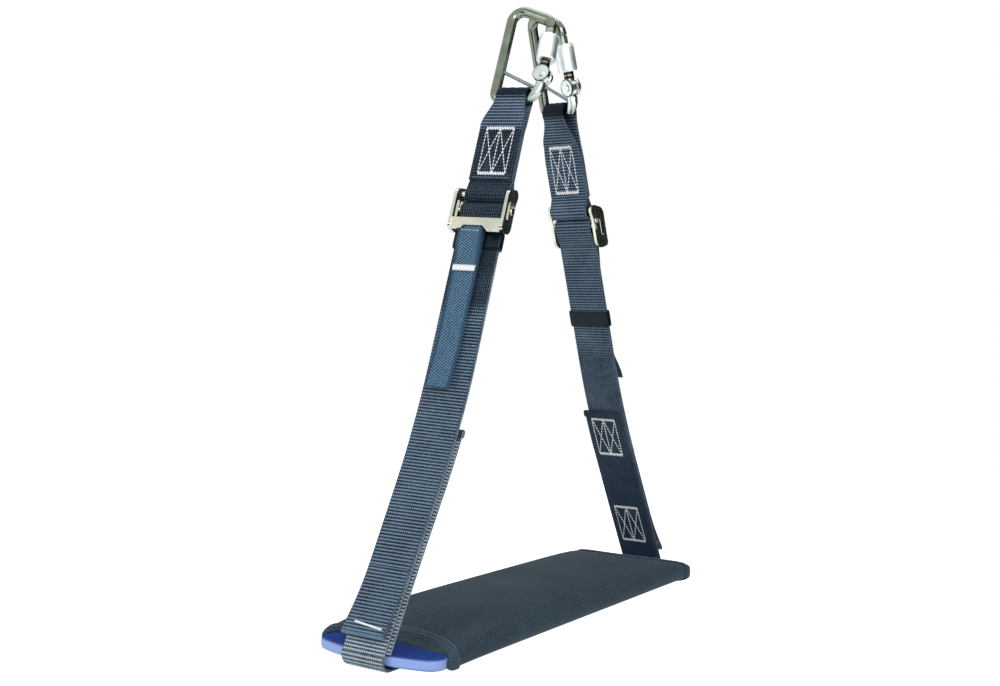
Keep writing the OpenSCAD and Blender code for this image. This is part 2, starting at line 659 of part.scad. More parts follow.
strap_tail(REAR);  // rear_strap_tail
inner_doubler(REAR);  // rear_inner_doubler
strap_keeper(REAR);  // rear_strap_keeper
pull_tape(REAR);  // rear_pull_tape
carabiner_frame(REAR);  // rear_carabiner_frame
captive_pin(REAR);  // rear_captive_pin
gate_rivet(REAR);  // rear_gate_rivet
gate(REAR);  // rear_gate
gate_plunger(REAR);  // rear_gate_plunger
gate_spring(REAR);  // rear_gate_spring
twist_sleeve(REAR);  // rear_twist_sleeve
sleeve_spring(REAR);  // rear_sleeve_spring
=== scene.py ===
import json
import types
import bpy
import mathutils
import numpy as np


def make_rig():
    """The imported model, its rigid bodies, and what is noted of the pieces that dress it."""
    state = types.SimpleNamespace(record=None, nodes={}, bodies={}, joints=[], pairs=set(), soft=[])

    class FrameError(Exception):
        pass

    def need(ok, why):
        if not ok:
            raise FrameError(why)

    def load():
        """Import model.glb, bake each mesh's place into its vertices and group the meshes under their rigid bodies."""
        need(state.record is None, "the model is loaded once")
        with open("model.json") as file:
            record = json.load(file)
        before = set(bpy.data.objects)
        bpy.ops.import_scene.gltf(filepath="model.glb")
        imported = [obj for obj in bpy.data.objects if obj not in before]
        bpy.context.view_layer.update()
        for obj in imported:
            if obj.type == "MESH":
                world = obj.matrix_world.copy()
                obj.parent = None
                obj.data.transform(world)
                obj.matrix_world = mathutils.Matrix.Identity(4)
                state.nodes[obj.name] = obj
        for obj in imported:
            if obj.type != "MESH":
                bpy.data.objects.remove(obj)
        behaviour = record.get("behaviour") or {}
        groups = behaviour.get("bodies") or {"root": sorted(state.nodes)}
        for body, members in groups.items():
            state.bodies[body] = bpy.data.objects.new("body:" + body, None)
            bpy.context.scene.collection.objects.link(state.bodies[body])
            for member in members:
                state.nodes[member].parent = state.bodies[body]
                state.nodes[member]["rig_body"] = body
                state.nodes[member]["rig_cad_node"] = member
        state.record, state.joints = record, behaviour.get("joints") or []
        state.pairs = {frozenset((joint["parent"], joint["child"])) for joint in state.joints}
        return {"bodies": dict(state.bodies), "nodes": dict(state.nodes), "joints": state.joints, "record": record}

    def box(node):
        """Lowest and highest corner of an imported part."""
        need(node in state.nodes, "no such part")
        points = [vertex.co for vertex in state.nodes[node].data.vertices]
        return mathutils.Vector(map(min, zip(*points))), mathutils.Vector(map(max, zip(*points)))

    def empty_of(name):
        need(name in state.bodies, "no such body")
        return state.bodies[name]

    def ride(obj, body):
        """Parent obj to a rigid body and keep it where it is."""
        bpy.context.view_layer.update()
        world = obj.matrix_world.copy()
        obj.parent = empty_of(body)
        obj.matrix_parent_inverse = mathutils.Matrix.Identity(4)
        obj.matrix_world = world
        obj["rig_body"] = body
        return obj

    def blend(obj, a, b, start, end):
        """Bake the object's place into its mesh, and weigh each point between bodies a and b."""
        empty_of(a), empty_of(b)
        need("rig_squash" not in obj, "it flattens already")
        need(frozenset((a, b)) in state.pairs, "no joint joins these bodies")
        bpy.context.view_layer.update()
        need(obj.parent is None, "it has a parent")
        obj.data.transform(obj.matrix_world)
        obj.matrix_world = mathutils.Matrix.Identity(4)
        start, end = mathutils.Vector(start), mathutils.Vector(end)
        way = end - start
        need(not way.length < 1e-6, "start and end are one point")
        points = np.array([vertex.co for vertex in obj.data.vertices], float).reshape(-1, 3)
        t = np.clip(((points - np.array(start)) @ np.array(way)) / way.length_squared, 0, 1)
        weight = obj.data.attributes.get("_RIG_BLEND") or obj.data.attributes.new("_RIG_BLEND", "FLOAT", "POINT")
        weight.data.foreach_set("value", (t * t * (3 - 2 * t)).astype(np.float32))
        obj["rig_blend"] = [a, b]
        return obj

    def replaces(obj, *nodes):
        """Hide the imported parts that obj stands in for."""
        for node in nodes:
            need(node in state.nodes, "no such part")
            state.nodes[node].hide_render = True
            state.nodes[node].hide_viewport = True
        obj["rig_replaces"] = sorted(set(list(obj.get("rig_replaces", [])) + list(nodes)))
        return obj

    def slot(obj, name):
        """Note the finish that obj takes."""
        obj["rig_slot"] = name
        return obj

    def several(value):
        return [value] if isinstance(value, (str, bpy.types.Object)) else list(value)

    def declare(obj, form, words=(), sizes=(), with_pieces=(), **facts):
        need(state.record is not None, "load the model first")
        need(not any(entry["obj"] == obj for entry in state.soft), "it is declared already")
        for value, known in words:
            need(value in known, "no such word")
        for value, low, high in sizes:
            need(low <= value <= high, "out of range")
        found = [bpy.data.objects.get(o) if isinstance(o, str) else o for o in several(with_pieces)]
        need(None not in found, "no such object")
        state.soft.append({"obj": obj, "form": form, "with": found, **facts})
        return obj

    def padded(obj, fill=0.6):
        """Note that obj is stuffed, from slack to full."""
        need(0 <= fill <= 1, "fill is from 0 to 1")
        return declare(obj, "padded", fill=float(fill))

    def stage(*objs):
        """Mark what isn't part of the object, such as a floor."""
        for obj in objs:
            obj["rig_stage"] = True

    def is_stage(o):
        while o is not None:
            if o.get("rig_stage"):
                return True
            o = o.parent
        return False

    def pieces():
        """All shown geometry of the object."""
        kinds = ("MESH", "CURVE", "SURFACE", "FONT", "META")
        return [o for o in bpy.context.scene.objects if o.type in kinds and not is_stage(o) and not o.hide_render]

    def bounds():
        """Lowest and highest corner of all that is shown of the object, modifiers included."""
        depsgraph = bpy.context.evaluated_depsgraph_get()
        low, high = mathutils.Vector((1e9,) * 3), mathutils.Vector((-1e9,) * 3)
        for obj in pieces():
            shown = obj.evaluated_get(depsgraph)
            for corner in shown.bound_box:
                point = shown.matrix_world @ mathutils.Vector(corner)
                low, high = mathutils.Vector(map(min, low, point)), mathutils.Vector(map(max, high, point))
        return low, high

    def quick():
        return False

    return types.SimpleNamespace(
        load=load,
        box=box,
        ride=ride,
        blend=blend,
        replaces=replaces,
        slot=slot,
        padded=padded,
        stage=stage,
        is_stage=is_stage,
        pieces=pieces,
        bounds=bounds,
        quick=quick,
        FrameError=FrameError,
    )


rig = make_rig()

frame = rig.load()

import json
import math

import bmesh
import bpy
from mathutils import Matrix, Vector

cad_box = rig.bounds()
scene = bpy.context.scene
MM = 0.001
FRONT, REAR = -1, 1
SIDES = {FRONT: "front", REAR: "rear"}

# Kinds of node that come up often
MATH, VECTOR, RANGE = "ShaderNodeMath", "ShaderNodeVectorMath", "ShaderNodeMapRange"
NOISE, MIX, BUMP, PLACE = "ShaderNodeTexNoise", "ShaderNodeMix", "ShaderNodeBump", "ShaderNodeTexCoord"

# Seat, in millimetres
BOARD_L, BOARD_W, BOARD_T, SEAT_DROP = 484, 130, 10, 573
BOARD_END_SAG, BOARD_CORNER_R, BOARD_EDGE_R = 12, 15, 3.5
COVER_L, COVER_W, COVER_END_SAG = 440, 142, {FRONT: 27, REAR: 16}
CLOTH_T, FOAM_T, END_FOAM, CROWN, SOFT_GAP = 1.5, 11, 3, 2.5, 0.3
COVER_HALF_END = BOARD_T/2 + CLOTH_T + 0.6
REAR_LIFT, REAR_BOW = END_FOAM + 4, 2
HEM_FROM = COVER_L/2 - 10
PAD_INSET, PAD_BACK, PAD_VOXEL, PAD_PRESSURE, PAD_SWELL, PAD_HELD = 0.8, 2, 4.5, 4.0, 3.0, 14

# Legs
HANG_GAP, UPPER_LEAN, KNEE_AT, BEND_REACH = 12.9, math.radians(18.9), 410, 60
TWIST = {FRONT: math.radians(-12), REAR: math.radians(-4)}
HEAD_TURN = {FRONT: math.radians(-12), REAR: math.radians(-19)}
HEAD_CLEAR, HEAD_L, FADE_LIFT = 6, 45, 40
WEB_W, WEB_T = 44.5, 2.4
LAYER = WEB_T + SOFT_GAP
RIB_PITCH, RIB_H = 3.0, 0.34
EYE_AT, EYE_R, GATHER_W, GATHER_SHIFT, GATHER_RISE, FLARE_L = 89.5, 8, 31, -4.8, -2, 30
TOP_BAR_AT, TOP_BAR_R = 191, 4
BAR_AT, BAR_R, BAR_X = 207.5, 4.5, LAYER/2
WRAP_R = BAR_R + SOFT_GAP + WEB_T/2
SETTLE_FROM, SETTLE_AT = BAR_AT + 3, BAR_AT + 21
STRAIGHT_END = BAR_AT + 125
KEEPER_H, KEEPER_T = 17, 1.6
KEEPER_AT = {FRONT: BAR_AT + 22, REAR: BAR_AT + 92}
TAPE_W, TAPE_T, TAPE_L, TAPE_FOLD_L = 25, 1.2, 157, 42
TAPE_X, TAPE_TURN_R, TAPE_BAR_AT = 7.1, 2.7, BAR_AT + 17.5
TAPE_SHIFT, TAPE_LIFT = {FRONT: 5, REAR: -5}, {FRONT: 4, REAR: 12}
DOUBLER_L, HEM_L, ROLL_L = 199, 12, 4
DOUBLER_SHIFT = {FRONT: -3.5, REAR: 3.5}
TAIL_FLARE, TAIL_LIFT_L = 7.5, 60

# Sewing: where each box starts and ends down the leg, its half width, and how far thread stands off the cloth
LOOP_BOX, DOUBLER_BOXES = (124, 171), {"upper": (424, 468), "lower": (540, 586)}
LOOP_BOX_HALF, DOUBLER_BOX_HALF, BOX_ROW_TALL, BOX_ROW_PITCH = 14, 14.5, 4.0, 1.3
THREAD_OUT, THREAD_IN = 0.35, 0.25

# Camera fitted to the photograph, and the room
PHOTO_W, FOCAL, SENSOR = 1000, 1127.1, 36
CAMERA_AT, YAW, PITCH, ROLL = (-0.9309, -0.6068, -0.3150), 55.30, 0.16, 0.53
FLOOR_HALF, FLOOR_Z, FLAG_REACH, FLAG_FOOT = 4, -0.86, 1.6, -0.8
AIM = (0, 0, -0.35)

# The leg runs straight, bends and then lies tangent to the strap's turn round the board's rim
STRAP_LOW = COVER_HALF_END + SOFT_GAP + WEB_T/2
RIM = Vector((BOARD_L/2 - BOARD_T/2, -SEAT_DROP))
KNEE = Vector((HANG_GAP + KNEE_AT*math.sin(UPPER_LEAN), -KNEE_AT*math.cos(UPPER_LEAN)))
KNEE_RIM = (RIM - KNEE).length
LOWER_LEAN = math.atan2(RIM.x - KNEE.x, KNEE.y - RIM.y) + math.asin(STRAP_LOW/KNEE_RIM)
BEND_TURN = LOWER_LEAN - UPPER_LEAN
BEND_R = BEND_REACH/math.tan(BEND_TURN/2)
BEND_L = BEND_R*BEND_TURN
BEND_AT = KNEE_AT - BEND_REACH
RIM_AT = BEND_AT + BEND_L + math.sqrt(KNEE_RIM**2 - STRAP_LOW**2) - BEND_REACH
FOLD_AT = RIM_AT - 4
DOUBLER_END = RIM_AT - 3
DOUBLER_AT = DOUBLER_END - DOUBLER_L
TAIL_END = FOLD_AT - 7


def smooth(t):
    """Rises smoothly from 0 to 1."""
    t = max(0.0, min(1.0, t))
    return t*t*(3 - 2*t)


def on_leg(side):
    """Gives the function that carries a point of the straightened leg (outward, across, up) to its place."""
    def place(x, y, z):
        fade = smooth((-z - STRAIGHT_END)/(DOUBLER_END - FADE_LIFT - STRAIGHT_END))
        head = 1 - smooth((-z - EYE_AT - HEAD_CLEAR)/HEAD_L)
        turn = TWIST[side]*(1 - fade) + (HEAD_TURN[side] - TWIST[side])*head
        out = x*math.cos(turn) - y*math.sin(turn)
        across = x*math.sin(turn) + y*math.cos(turn)
        past = max(0.0, -z - BEND_AT)
        t = min(BEND_TURN, past/BEND_R)
        rest = max(0.0, past - BEND_L)
        bent_x = BEND_R*(1 - math.cos(t)) + rest*math.sin(t) + out*math.cos(t)
        bent_z = max(z, -BEND_AT) - BEND_R*math.sin(t) - rest*math.cos(t) + out*math.sin(t)
        lean_x = bent_x*math.cos(UPPER_LEAN) - bent_z*math.sin(UPPER_LEAN) + HANG_GAP
        lean_z = bent_x*math.sin(UPPER_LEAN) + bent_z*math.cos(UPPER_LEAN)
        return Vector((side*lean_x, across, lean_z))*MM
    return place


def in_world(x, y, z):
    """Point given in millimetres."""
    return Vector((x, y, z))*MM


def arc(centre, r, start, end, n=24):
    """Points of an arc, with its angles in degrees."""
    turns = [math.radians(start + (end - start)*i/n) for i in range(n + 1)]
    return [Vector((centre[0] + r*math.cos(a), centre[1] + r*math.sin(a))) for a in turns]


def drift(top, foot, x_top, x_foot, step=2.0):
    """A run down the leg that moves smoothly from one offset to another."""
    n = max(2, round(abs(foot - top)/step))
    return [Vector((x_top + (x_foot - x_top)*smooth(i/n), -top - (foot - top)*i/n)) for i in range(n + 1)]


def even(points, step):
    """Points at an even spacing along a line of points."""
    line = [Vector(points[0])]
    for p in points[1:]:
        if (Vector(p) - line[-1]).length > 1e-4:
            line.append(Vector(p))
    lengths = [0.0]
    for a, b in zip(line, line[1:]):
        lengths.append(lengths[-1] + (b - a).length)
    n = max(2, round(lengths[-1]/step))
    result, k = [], 0
    for i in range(n + 1):
        want = lengths[-1]*i/n
        while k < len(line) - 2 and lengths[k + 1] < want:
            k += 1
        share = (want - lengths[k])/(lengths[k + 1] - lengths[k])
        result.append(line[k].lerp(line[k + 1], share))
    return result


def add(tree, kind, inputs=None, **settings):
    """Adds a node with its settings. An input is given a value, or a socket to be linked from."""
    made = tree.nodes.new(kind)
    for key, value in settings.items():
        setattr(made, key, value)
    for key, value in (inputs or {}).items():
        if isinstance(value, bpy.types.NodeSocket):
            tree.links.new(value, made.inputs[key])
        else:
            made.inputs[key].default_value = value
    return made


def colour(hex_code):
    """Linear colour of an sRGB hex value."""
    parts = [int(hex_code[i:i + 2], 16)/255 for i in (1, 3, 5)]
    return [p/12.92 if p <= 0.04045 else ((p + 0.055)/1.055)**2.4 for p in parts] + [1.0]


def new_object(name, mesh):
    obj = bpy.data.objects.new(name, mesh)
    scene.collection.objects.link(obj)
    return obj


def skin(name, points, n, closed, made=None):
    """Mesh over rings of n points, with its faces outward. The last ring joins the first if it is closed, or else
    both ends are capped. With a material it is smooth too."""
    m = len(points)//n
    faces = [(i*n + j, i*n + (j + 1) % n, (i + 1) % m*n + (j + 1) % n, (i + 1) % m*n + j)
             for i in range(m if closed else m - 1) for j in range(n)]
    if not closed:
        faces += [tuple(range(n)), tuple((m - 1)*n + j for j in range(n))]
    mesh = bpy.data.meshes.new(name)
    mesh.from_pydata(points, [], faces)
    shape = bmesh.new()
    shape.from_mesh(mesh)
    bmesh.ops.recalc_face_normals(shape, faces=shape.faces)
    shape.to_mesh(mesh)
    shape.free()
    if made:
        mesh.materials.append(made)
        mesh.shade_smooth()
    return mesh


def plain_mesh(obj):
    """Turns what an object's modifiers make into its own mesh."""
    graph = bpy.context.evaluated_depsgraph_get()
    mesh = bpy.data.meshes.new_from_object(
        obj.evaluated_get(graph), preserve_all_data_layers=True, depsgraph=graph)
    obj.modifiers.clear()
    obj.data = mesh
    return obj


def run_nodes(obj, tree, **values):
    """Runs a node tree on an object, with its inputs by name, and keeps the result as a plain mesh."""
    modifier = obj.modifiers.new(tree.name, "NODES")
    modifier.node_group = tree
    for item in tree.interface.items_tree:
        if item.item_type == "SOCKET" and item.in_out == "INPUT" and item.name in values:
            modifier[item.identifier] = values[item.name]
    obj.update_tag()
    return plain_mesh(obj)


def new_tree(name, inputs):
    """Geometry tree with named inputs; gives the tree, its input node and its output node."""
    tree = bpy.data.node_groups.new(name, "GeometryNodeTree")
    tree.interface.new_socket("Geometry", in_out="INPUT", socket_type="NodeSocketGeometry")
    for key, kind in inputs.items():
        tree.interface.new_socket(key, in_out="INPUT", socket_type=kind)
    tree.interface.new_socket("Geometry", in_out="OUTPUT", socket_type="NodeSocketGeometry")
    return tree, tree.nodes.new("NodeGroupInput"), tree.nodes.new("NodeGroupOutput")


# Materials
def new_material(name):
    """Empty material; gives it and its node tree."""
    made = bpy.data.materials.new(name)
    made.use_nodes = True
    made.node_tree.nodes.clear()
    return made, made.node_tree


def finish(tree, inputs):
    """Ends a material's tree in one surface with these inputs."""
    surface = add(tree, "ShaderNodeBsdfPrincipled", inputs)
    add(tree, "ShaderNodeOutputMaterial", {"Surface": surface.outputs[0]})


def woven_polyester(name, valley, crest, fold_light_colour, twill_pitch, twill_share, dotted):
    """Polyester webbing, woven. The thick weft ribs are painted lighter on their crests, a painted highlight, and
    darker between them, painted shade; between them and on the plain stretches the warp shows as slanting rows or
    dots. Tight folds are mixed toward the fold colour, painted light at the bends: a highlight where that colour is
    paler, shade where it is darker. The drawn share paints shade, darkest in the gathered eye. The threads are drawn
    coarser than real ones so that they show."""
    made, tree = new_material(name)
    # The fold share mixes in a painted fold tone, and the drawn share is painted shade.
    rib, ribbing, rubbed, drawn, along, across = [
        add(tree, "ShaderNodeAttribute", attribute_name=key).outputs["Fac"]
        for key in ("rib", "ribbing", "rubbed", "drawn", "along", "across")]
    rows = []
    for slant in ("ADD", "SUBTRACT"):
        way = add(tree, MATH, {0: along, 1: across}, operation=slant)
        turn = add(tree, MATH, {0: way.outputs[0], 1: 2*math.pi/twill_pitch}, operation="MULTIPLY")
        rows.append(add(tree, MATH, {0: turn.outputs[0]}, operation="SINE").outputs[0])
    dots = add(tree, MATH, {0: rows[0], 1: rows[1]}, operation="MULTIPLY")
    weave = dots.outputs[0] if dotted else rows[0]
    plain = add(tree, MATH, {0: 1.0, 1: ribbing}, operation="SUBTRACT").outputs[0]
    shown = add(tree, MATH, {0: weave, 1: plain}, operation="MULTIPLY").outputs[0]
    where = add(tree, PLACE).outputs["Object"]
    patches, fuzz = [add(tree, NOISE, {"Vector": where, "Scale": scale, "Detail": detail}).outputs[0]
                     for scale, detail in ((40.0, 3.0), (750.0, 2.0))]
    crown = add(tree, MATH, {0: rib, 1: 1.8}, operation="POWER").outputs[0]
    bead_turn = add(tree, MATH, {0: across, 1: 2*math.pi/2.2}, operation="MULTIPLY")
    beads = add(tree, MATH, {0: bead_turn.outputs[0]}, operation="SINE")
    raised = add(tree, MATH, {0: beads.outputs[0], 1: crown}, operation="MULTIPLY").outputs[0]
    height = crown
    # The drawn share lowers the level: painted shade.
    for part, share in ((raised, 0.5), (shown, twill_share), (plain, -0.12), (drawn, -0.5), (fuzz, 0.7)):
        height = add(tree, MATH, {0: part, 1: share, 2: height}, operation="MULTIPLY_ADD").outputs[0]
    shade = add(tree, MATH, {0: patches, 1: 0.4, 2: height}, operation="MULTIPLY_ADD")
    level = add(tree, RANGE, {"Value": shade.outputs[0], "From Min": 0.5, "From Max": 1.55})
    dyed = add(tree, MIX, {0: level.outputs[0], 6: colour(valley), 7: colour(crest)}, data_type="RGBA")
    # Where the band folds tightly its colour goes toward the fold colour: painted light at the bends.
    paler = add(tree, MATH, {0: rubbed, 1: 0.6}, operation="MULTIPLY")
    tint = add(tree, MIX, {0: paler.outputs[0], 6: dyed.outputs[2], 7: colour(fold_light_colour)}, data_type="RGBA")
    bump = add(tree, BUMP, {"Height": height, "Strength": 0.5, "Distance": 0.0004})
    finish(tree, {"Base Color": tint.outputs[2], "Normal": bump.outputs[0], "Roughness": 0.5,
                  "Sheen Weight": 0.02, "Specular IOR Level": 0.05})
    return made


def speckled_tape():
    """Polyester tape, woven with pale specks in staggered columns on a dark blue ground, between two plain
    selvedges."""
    made, tree = new_material("polyester tape, speckled weave")
    along, across = [add(tree, "ShaderNodeAttribute", attribute_name=key).outputs["Fac"]
                     for key in ("along", "across")]
    waves = []
    for way, pitch in ((along, 2.4), (across, 3.8)):
        turn = add(tree, MATH, {0: way, 1: 2*math.pi/pitch}, operation="MULTIPLY")
        waves.append(add(tree, MATH, {0: turn.outputs[0]}, operation="SINE").outputs[0])
    specks = add(tree, MATH, {0: waves[0], 1: waves[1]}, operation="MULTIPLY")
    where = add(tree, PLACE)
    fuzz = add(tree, NOISE, {"Vector": where.outputs["Object"], "Scale": 800.0, "Detail": 2.0})
    shade = add(tree, MATH, {0: specks.outputs[0], 1: 0.6, 2: fuzz.outputs[0]}, operation="MULTIPLY_ADD")
    level = add(tree, RANGE, {"Value": shade.outputs[0], "From Min": 0.25, "From Max": 1.1})
    middle = add(tree, MATH, {0: across, 1: TAPE_W/2}, operation="SUBTRACT")
    reach = add(tree, MATH, {0: middle.outputs[0]}, operation="ABSOLUTE")
    edge = add(tree, RANGE, {"Value": reach.outputs[0], "From Min": TAPE_W/2 - 3.5, "From Max": TAPE_W/2 - 2.5})
    specked, selvedge = [
        add(tree, MIX, {0: level.outputs[0], 6: colour(low), 7: colour(high)}, data_type="RGBA").outputs[2]
        for low, high in (("#152a3e", "#7ba3c0"), ("#223648", "#4b6b87"))]
    tint = add(tree, MIX, {0: edge.outputs[0], 6: specked, 7: selvedge}, data_type="RGBA")
    bump = add(tree, BUMP, {"Height": shade.outputs[0], "Strength": 0.5, "Distance": 0.0003})
    finish(tree, {"Base Color": tint.outputs[2], "Normal": bump.outputs[0], "Roughness": 0.55,
                  "Sheen Weight": 0.02, "Specular IOR Level": 0.06})
    return made


def ribbed_cover_cloth(name, low, high):
    """Coated polyester cloth, woven with fine ribs across the seat. Dark and nearly matte, with a pale bloom
    where it turns over an edge. The ribs are drawn coarser than real ones so that they show."""
    made, tree = new_material(name)
    where = add(tree, PLACE).outputs["Object"]
    parts = add(tree, "ShaderNodeSeparateXYZ", {0: where})
    turn = add(tree, MATH, {0: parts.outputs[0], 1: 2*math.pi/(2.6*MM)}, operation="MULTIPLY")
    wave = add(tree, MATH, {0: turn.outputs[0]}, operation="SINE")
    fuzz, patches = [add(tree, NOISE, {"Vector": where, "Scale": scale, "Detail": detail}).outputs[0]
                     for scale, detail in ((700.0, 3.0), (18.0, 4.0))]
    ribs = add(tree, MATH, {0: wave.outputs[0], 1: 0.10, 2: fuzz}, operation="MULTIPLY_ADD")
    shade = add(tree, MATH, {0: patches, 1: 0.4, 2: ribs.outputs[0]}, operation="MULTIPLY_ADD")
    level = add(tree, RANGE, {"Value": shade.outputs[0], "From Min": 0.4, "From Max": 1.0})
    tint = add(tree, MIX, {0: level.outputs[0], 6: colour(low), 7: colour(high)}, data_type="RGBA")
    bump = add(tree, BUMP, {"Height": ribs.outputs[0], "Strength": 0.35, "Distance": 0.0004})
    finish(tree, {"Base Color": tint.outputs[2], "Normal": bump.outputs[0], "Roughness": 0.6,
                  "Sheen Weight": 0.06, "Specular IOR Level": 0.06})
    return made


def plated_steel(name, low, high, rough_low, rough_high):
    """Plated steel, bent and tumbled. A cloudy plating colour, and fine scuffs that change the gloss."""
    made, tree = new_material(name)
    where = add(tree, PLACE).outputs["Object"]
    clouds, grit = [add(tree, NOISE, {"Vector": where, "Scale": scale, "Detail": detail}).outputs[0]
                    for scale, detail in ((60.0, 5.0), (1500.0, 2.0))]
    tint = add(tree, MIX, {0: clouds, 6: colour(low), 7: colour(high)}, data_type="RGBA")
    gloss = add(tree, RANGE, {"Value": clouds, "From Min": 0.3, "From Max": 0.7, "To Min": rough_low,
                              "To Max": rough_high})
    bump = add(tree, BUMP, {"Height": grit, "Strength": 0.05, "Distance": 0.0002})
    finish(tree, {"Base Color": tint.outputs[2], "Roughness": gloss.outputs[0], "Normal": bump.outputs[0],
                  "Metallic": 1.0})
    return made


def hinge_ramp_steel(name, hinge, stops, rough):
    """Plated steel whose colour changes with the distance from the gate's hinge, from stop to stop, in cloudy
    patches. A stop is a distance in millimetres and a colour."""
    made, tree = new_material(name)
    where = add(tree, PLACE).outputs["Object"]
    clouds = add(tree, NOISE, {"Vector": where, "Scale": 70.0, "Detail": 3.0}).outputs[0]
    away = add(tree, VECTOR, {0: where, 1: hinge}, operation="DISTANCE")
    ragged = add(tree, MATH, {0: clouds, 1: 2*MM, 2: away.outputs["Value"]}, operation="MULTIPLY_ADD")
    reach = stops[-1][0]
    share = add(tree, RANGE, {"Value": ragged.outputs[0], "From Max": reach*MM})
    plating = add(tree, "ShaderNodeValToRGB", {0: share.outputs[0]})
    ramp = plating.color_ramp.elements
    ramp[0].position, ramp[0].color = stops[0][0]/reach, colour(stops[0][1])
    ramp[1].position, ramp[1].color = 1.0, colour(stops[-1][1])
    for at, tone in stops[1:-1]:
        ramp.new(at/reach).color = colour(tone)
    dull, gloss = [
        add(tree, RANGE, {"Value": clouds, "From Min": 0.3, "From Max": 0.7, "To Min": low, "To Max": high})
        for low, high in ((0.72, 1.08), (rough - 0.04, rough + 0.05))]
    tint = add(tree, VECTOR, {0: plating.outputs[0], "Scale": dull.outputs[0]}, operation="SCALE")
    finish(tree, {"Base Color": tint.outputs[0], "Roughness": gloss.outputs[0], "Metallic": 1.0})
    return made


def moulded_plastic(name, face, rim, rough, grain, shine):
    """Moulded plastic. The skin has a fine grain, and where the surface turns upright it takes the rim colour, a
    painted highlight on the edges."""
    made, tree = new_material(name)
    where = add(tree, PLACE)
    parts = add(tree, "ShaderNodeSeparateXYZ", {0: where.outputs["Normal"]})
    upright = add(tree, MATH, {0: parts.outputs[2]}, operation="ABSOLUTE")
    # Painted highlight: where the surface turns from flat to upright it takes the rim colour.
    edge = add(tree, RANGE, {"Value": upright.outputs[0], "From Min": 0.85, "From Max": 0.45})
    clouds, pores = [
        add(tree, NOISE, {"Vector": where.outputs["Object"], "Scale": scale, "Detail": detail}).outputs[0]
        for scale, detail in ((40.0, 4.0), (1/(grain*MM), 2.0))]
    tint = add(tree, MIX, {0: edge.outputs[0], 6: colour(face), 7: colour(rim)}, data_type="RGBA")
    gloss = add(tree, RANGE, {"Value": clouds, "To Min": rough - 0.08, "To Max": rough + 0.08})
    bump = add(tree, BUMP, {"Height": pores, "Strength": 0.15, "Distance": 0.0002})
    finish(tree, {"Base Color": tint.outputs[2], "Roughness": gloss.outputs[0], "Normal": bump.outputs[0],
                  "Specular IOR Level": shine})
    return made


def sewing_thread(name, low, high):
    """Bonded polyester thread, twisted. Pale and slightly lustrous, a little darker in places."""
    made, tree = new_material(name)
    where = add(tree, PLACE)
    ply = add(tree, NOISE, {"Vector": where.outputs["Object"], "Scale": 900.0, "Detail": 2.0})
    tint = add(tree, MIX, {0: ply.outputs[0], 6: colour(low), 7: colour(high)}, data_type="RGBA")
    finish(tree, {"Base Color": tint.outputs[2], "Roughness": 0.5})
    return made


# Each webbing's fold colour is painted light at its bends: paler on the ribbed weave, a painted highlight, and darker
# on the other two, painted shade. The second is a copy whose rib crests are painted near white, a painted highlight on
# the ribs.
ribbed_webbing = woven_polyester(
    "polyester webbing, ribbed weave", "#0f1924", "#7d95aa", "#7393aa", 2.6, 0.4, True)
painted_light_webbing = woven_polyester(
    "polyester webbing, ribs rubbed pale", "#1a2733", "#bfd2dd", "#22303e", 2.6, 0.4, True)
twill_webbing = woven_polyester(
    "polyester webbing, twill weave", "#111a24", "#546a83", "#22303e", 3.0, 0.5, False)
tape_weave = speckled_tape()
cover_cloth = ribbed_cover_cloth("coated polyester cloth, fine ribs", "#1c2830", "#41535e")
hem_cloth = ribbed_cover_cloth("coated polyester cloth, folded hem", "#202d36", "#475b67")
zinc_steel = plated_steel("zinc plated steel, passivated", "#a9ad97", "#e6e6d6", 0.14, 0.26)
bright_steel = plated_steel("nickel plated steel, bright", "#c8d4d2", "#f2f8f7", 0.14, 0.28)
satin_steel = plated_steel("nickel plated steel, satin", "#dde8e8", "#fbffff", 0.44, 0.54)
pin_steel = plated_steel("plain steel, drawn", "#566466", "#93a2a4", 0.2, 0.34)
dark_steel = plated_steel("plain steel, oiled", "#2f3a3b", "#5f6b69", 0.25, 0.42)
spring_wire = plated_steel("spring steel wire, drawn", "#55565a", "#8a8b8e", 0.28, 0.4)
# The rim colours are paler than the faces: painted highlight on the edges.
board_plastic = moulded_plastic("polyethylene board, moulded", "#24408a", "#8fa9e0", 0.36, 0.8, 0.2)
keeper_plastic = moulded_plastic("acetal keeper, moulded black", "#081219", "#0c1a22", 0.22, 0.5, 0.16)
white_thread = sewing_thread("polyester thread, bonded white", "#d5dade", "#ffffff")
grey_thread = sewing_thread("polyester thread, bonded grey", "#5d7182", "#93a8b8")


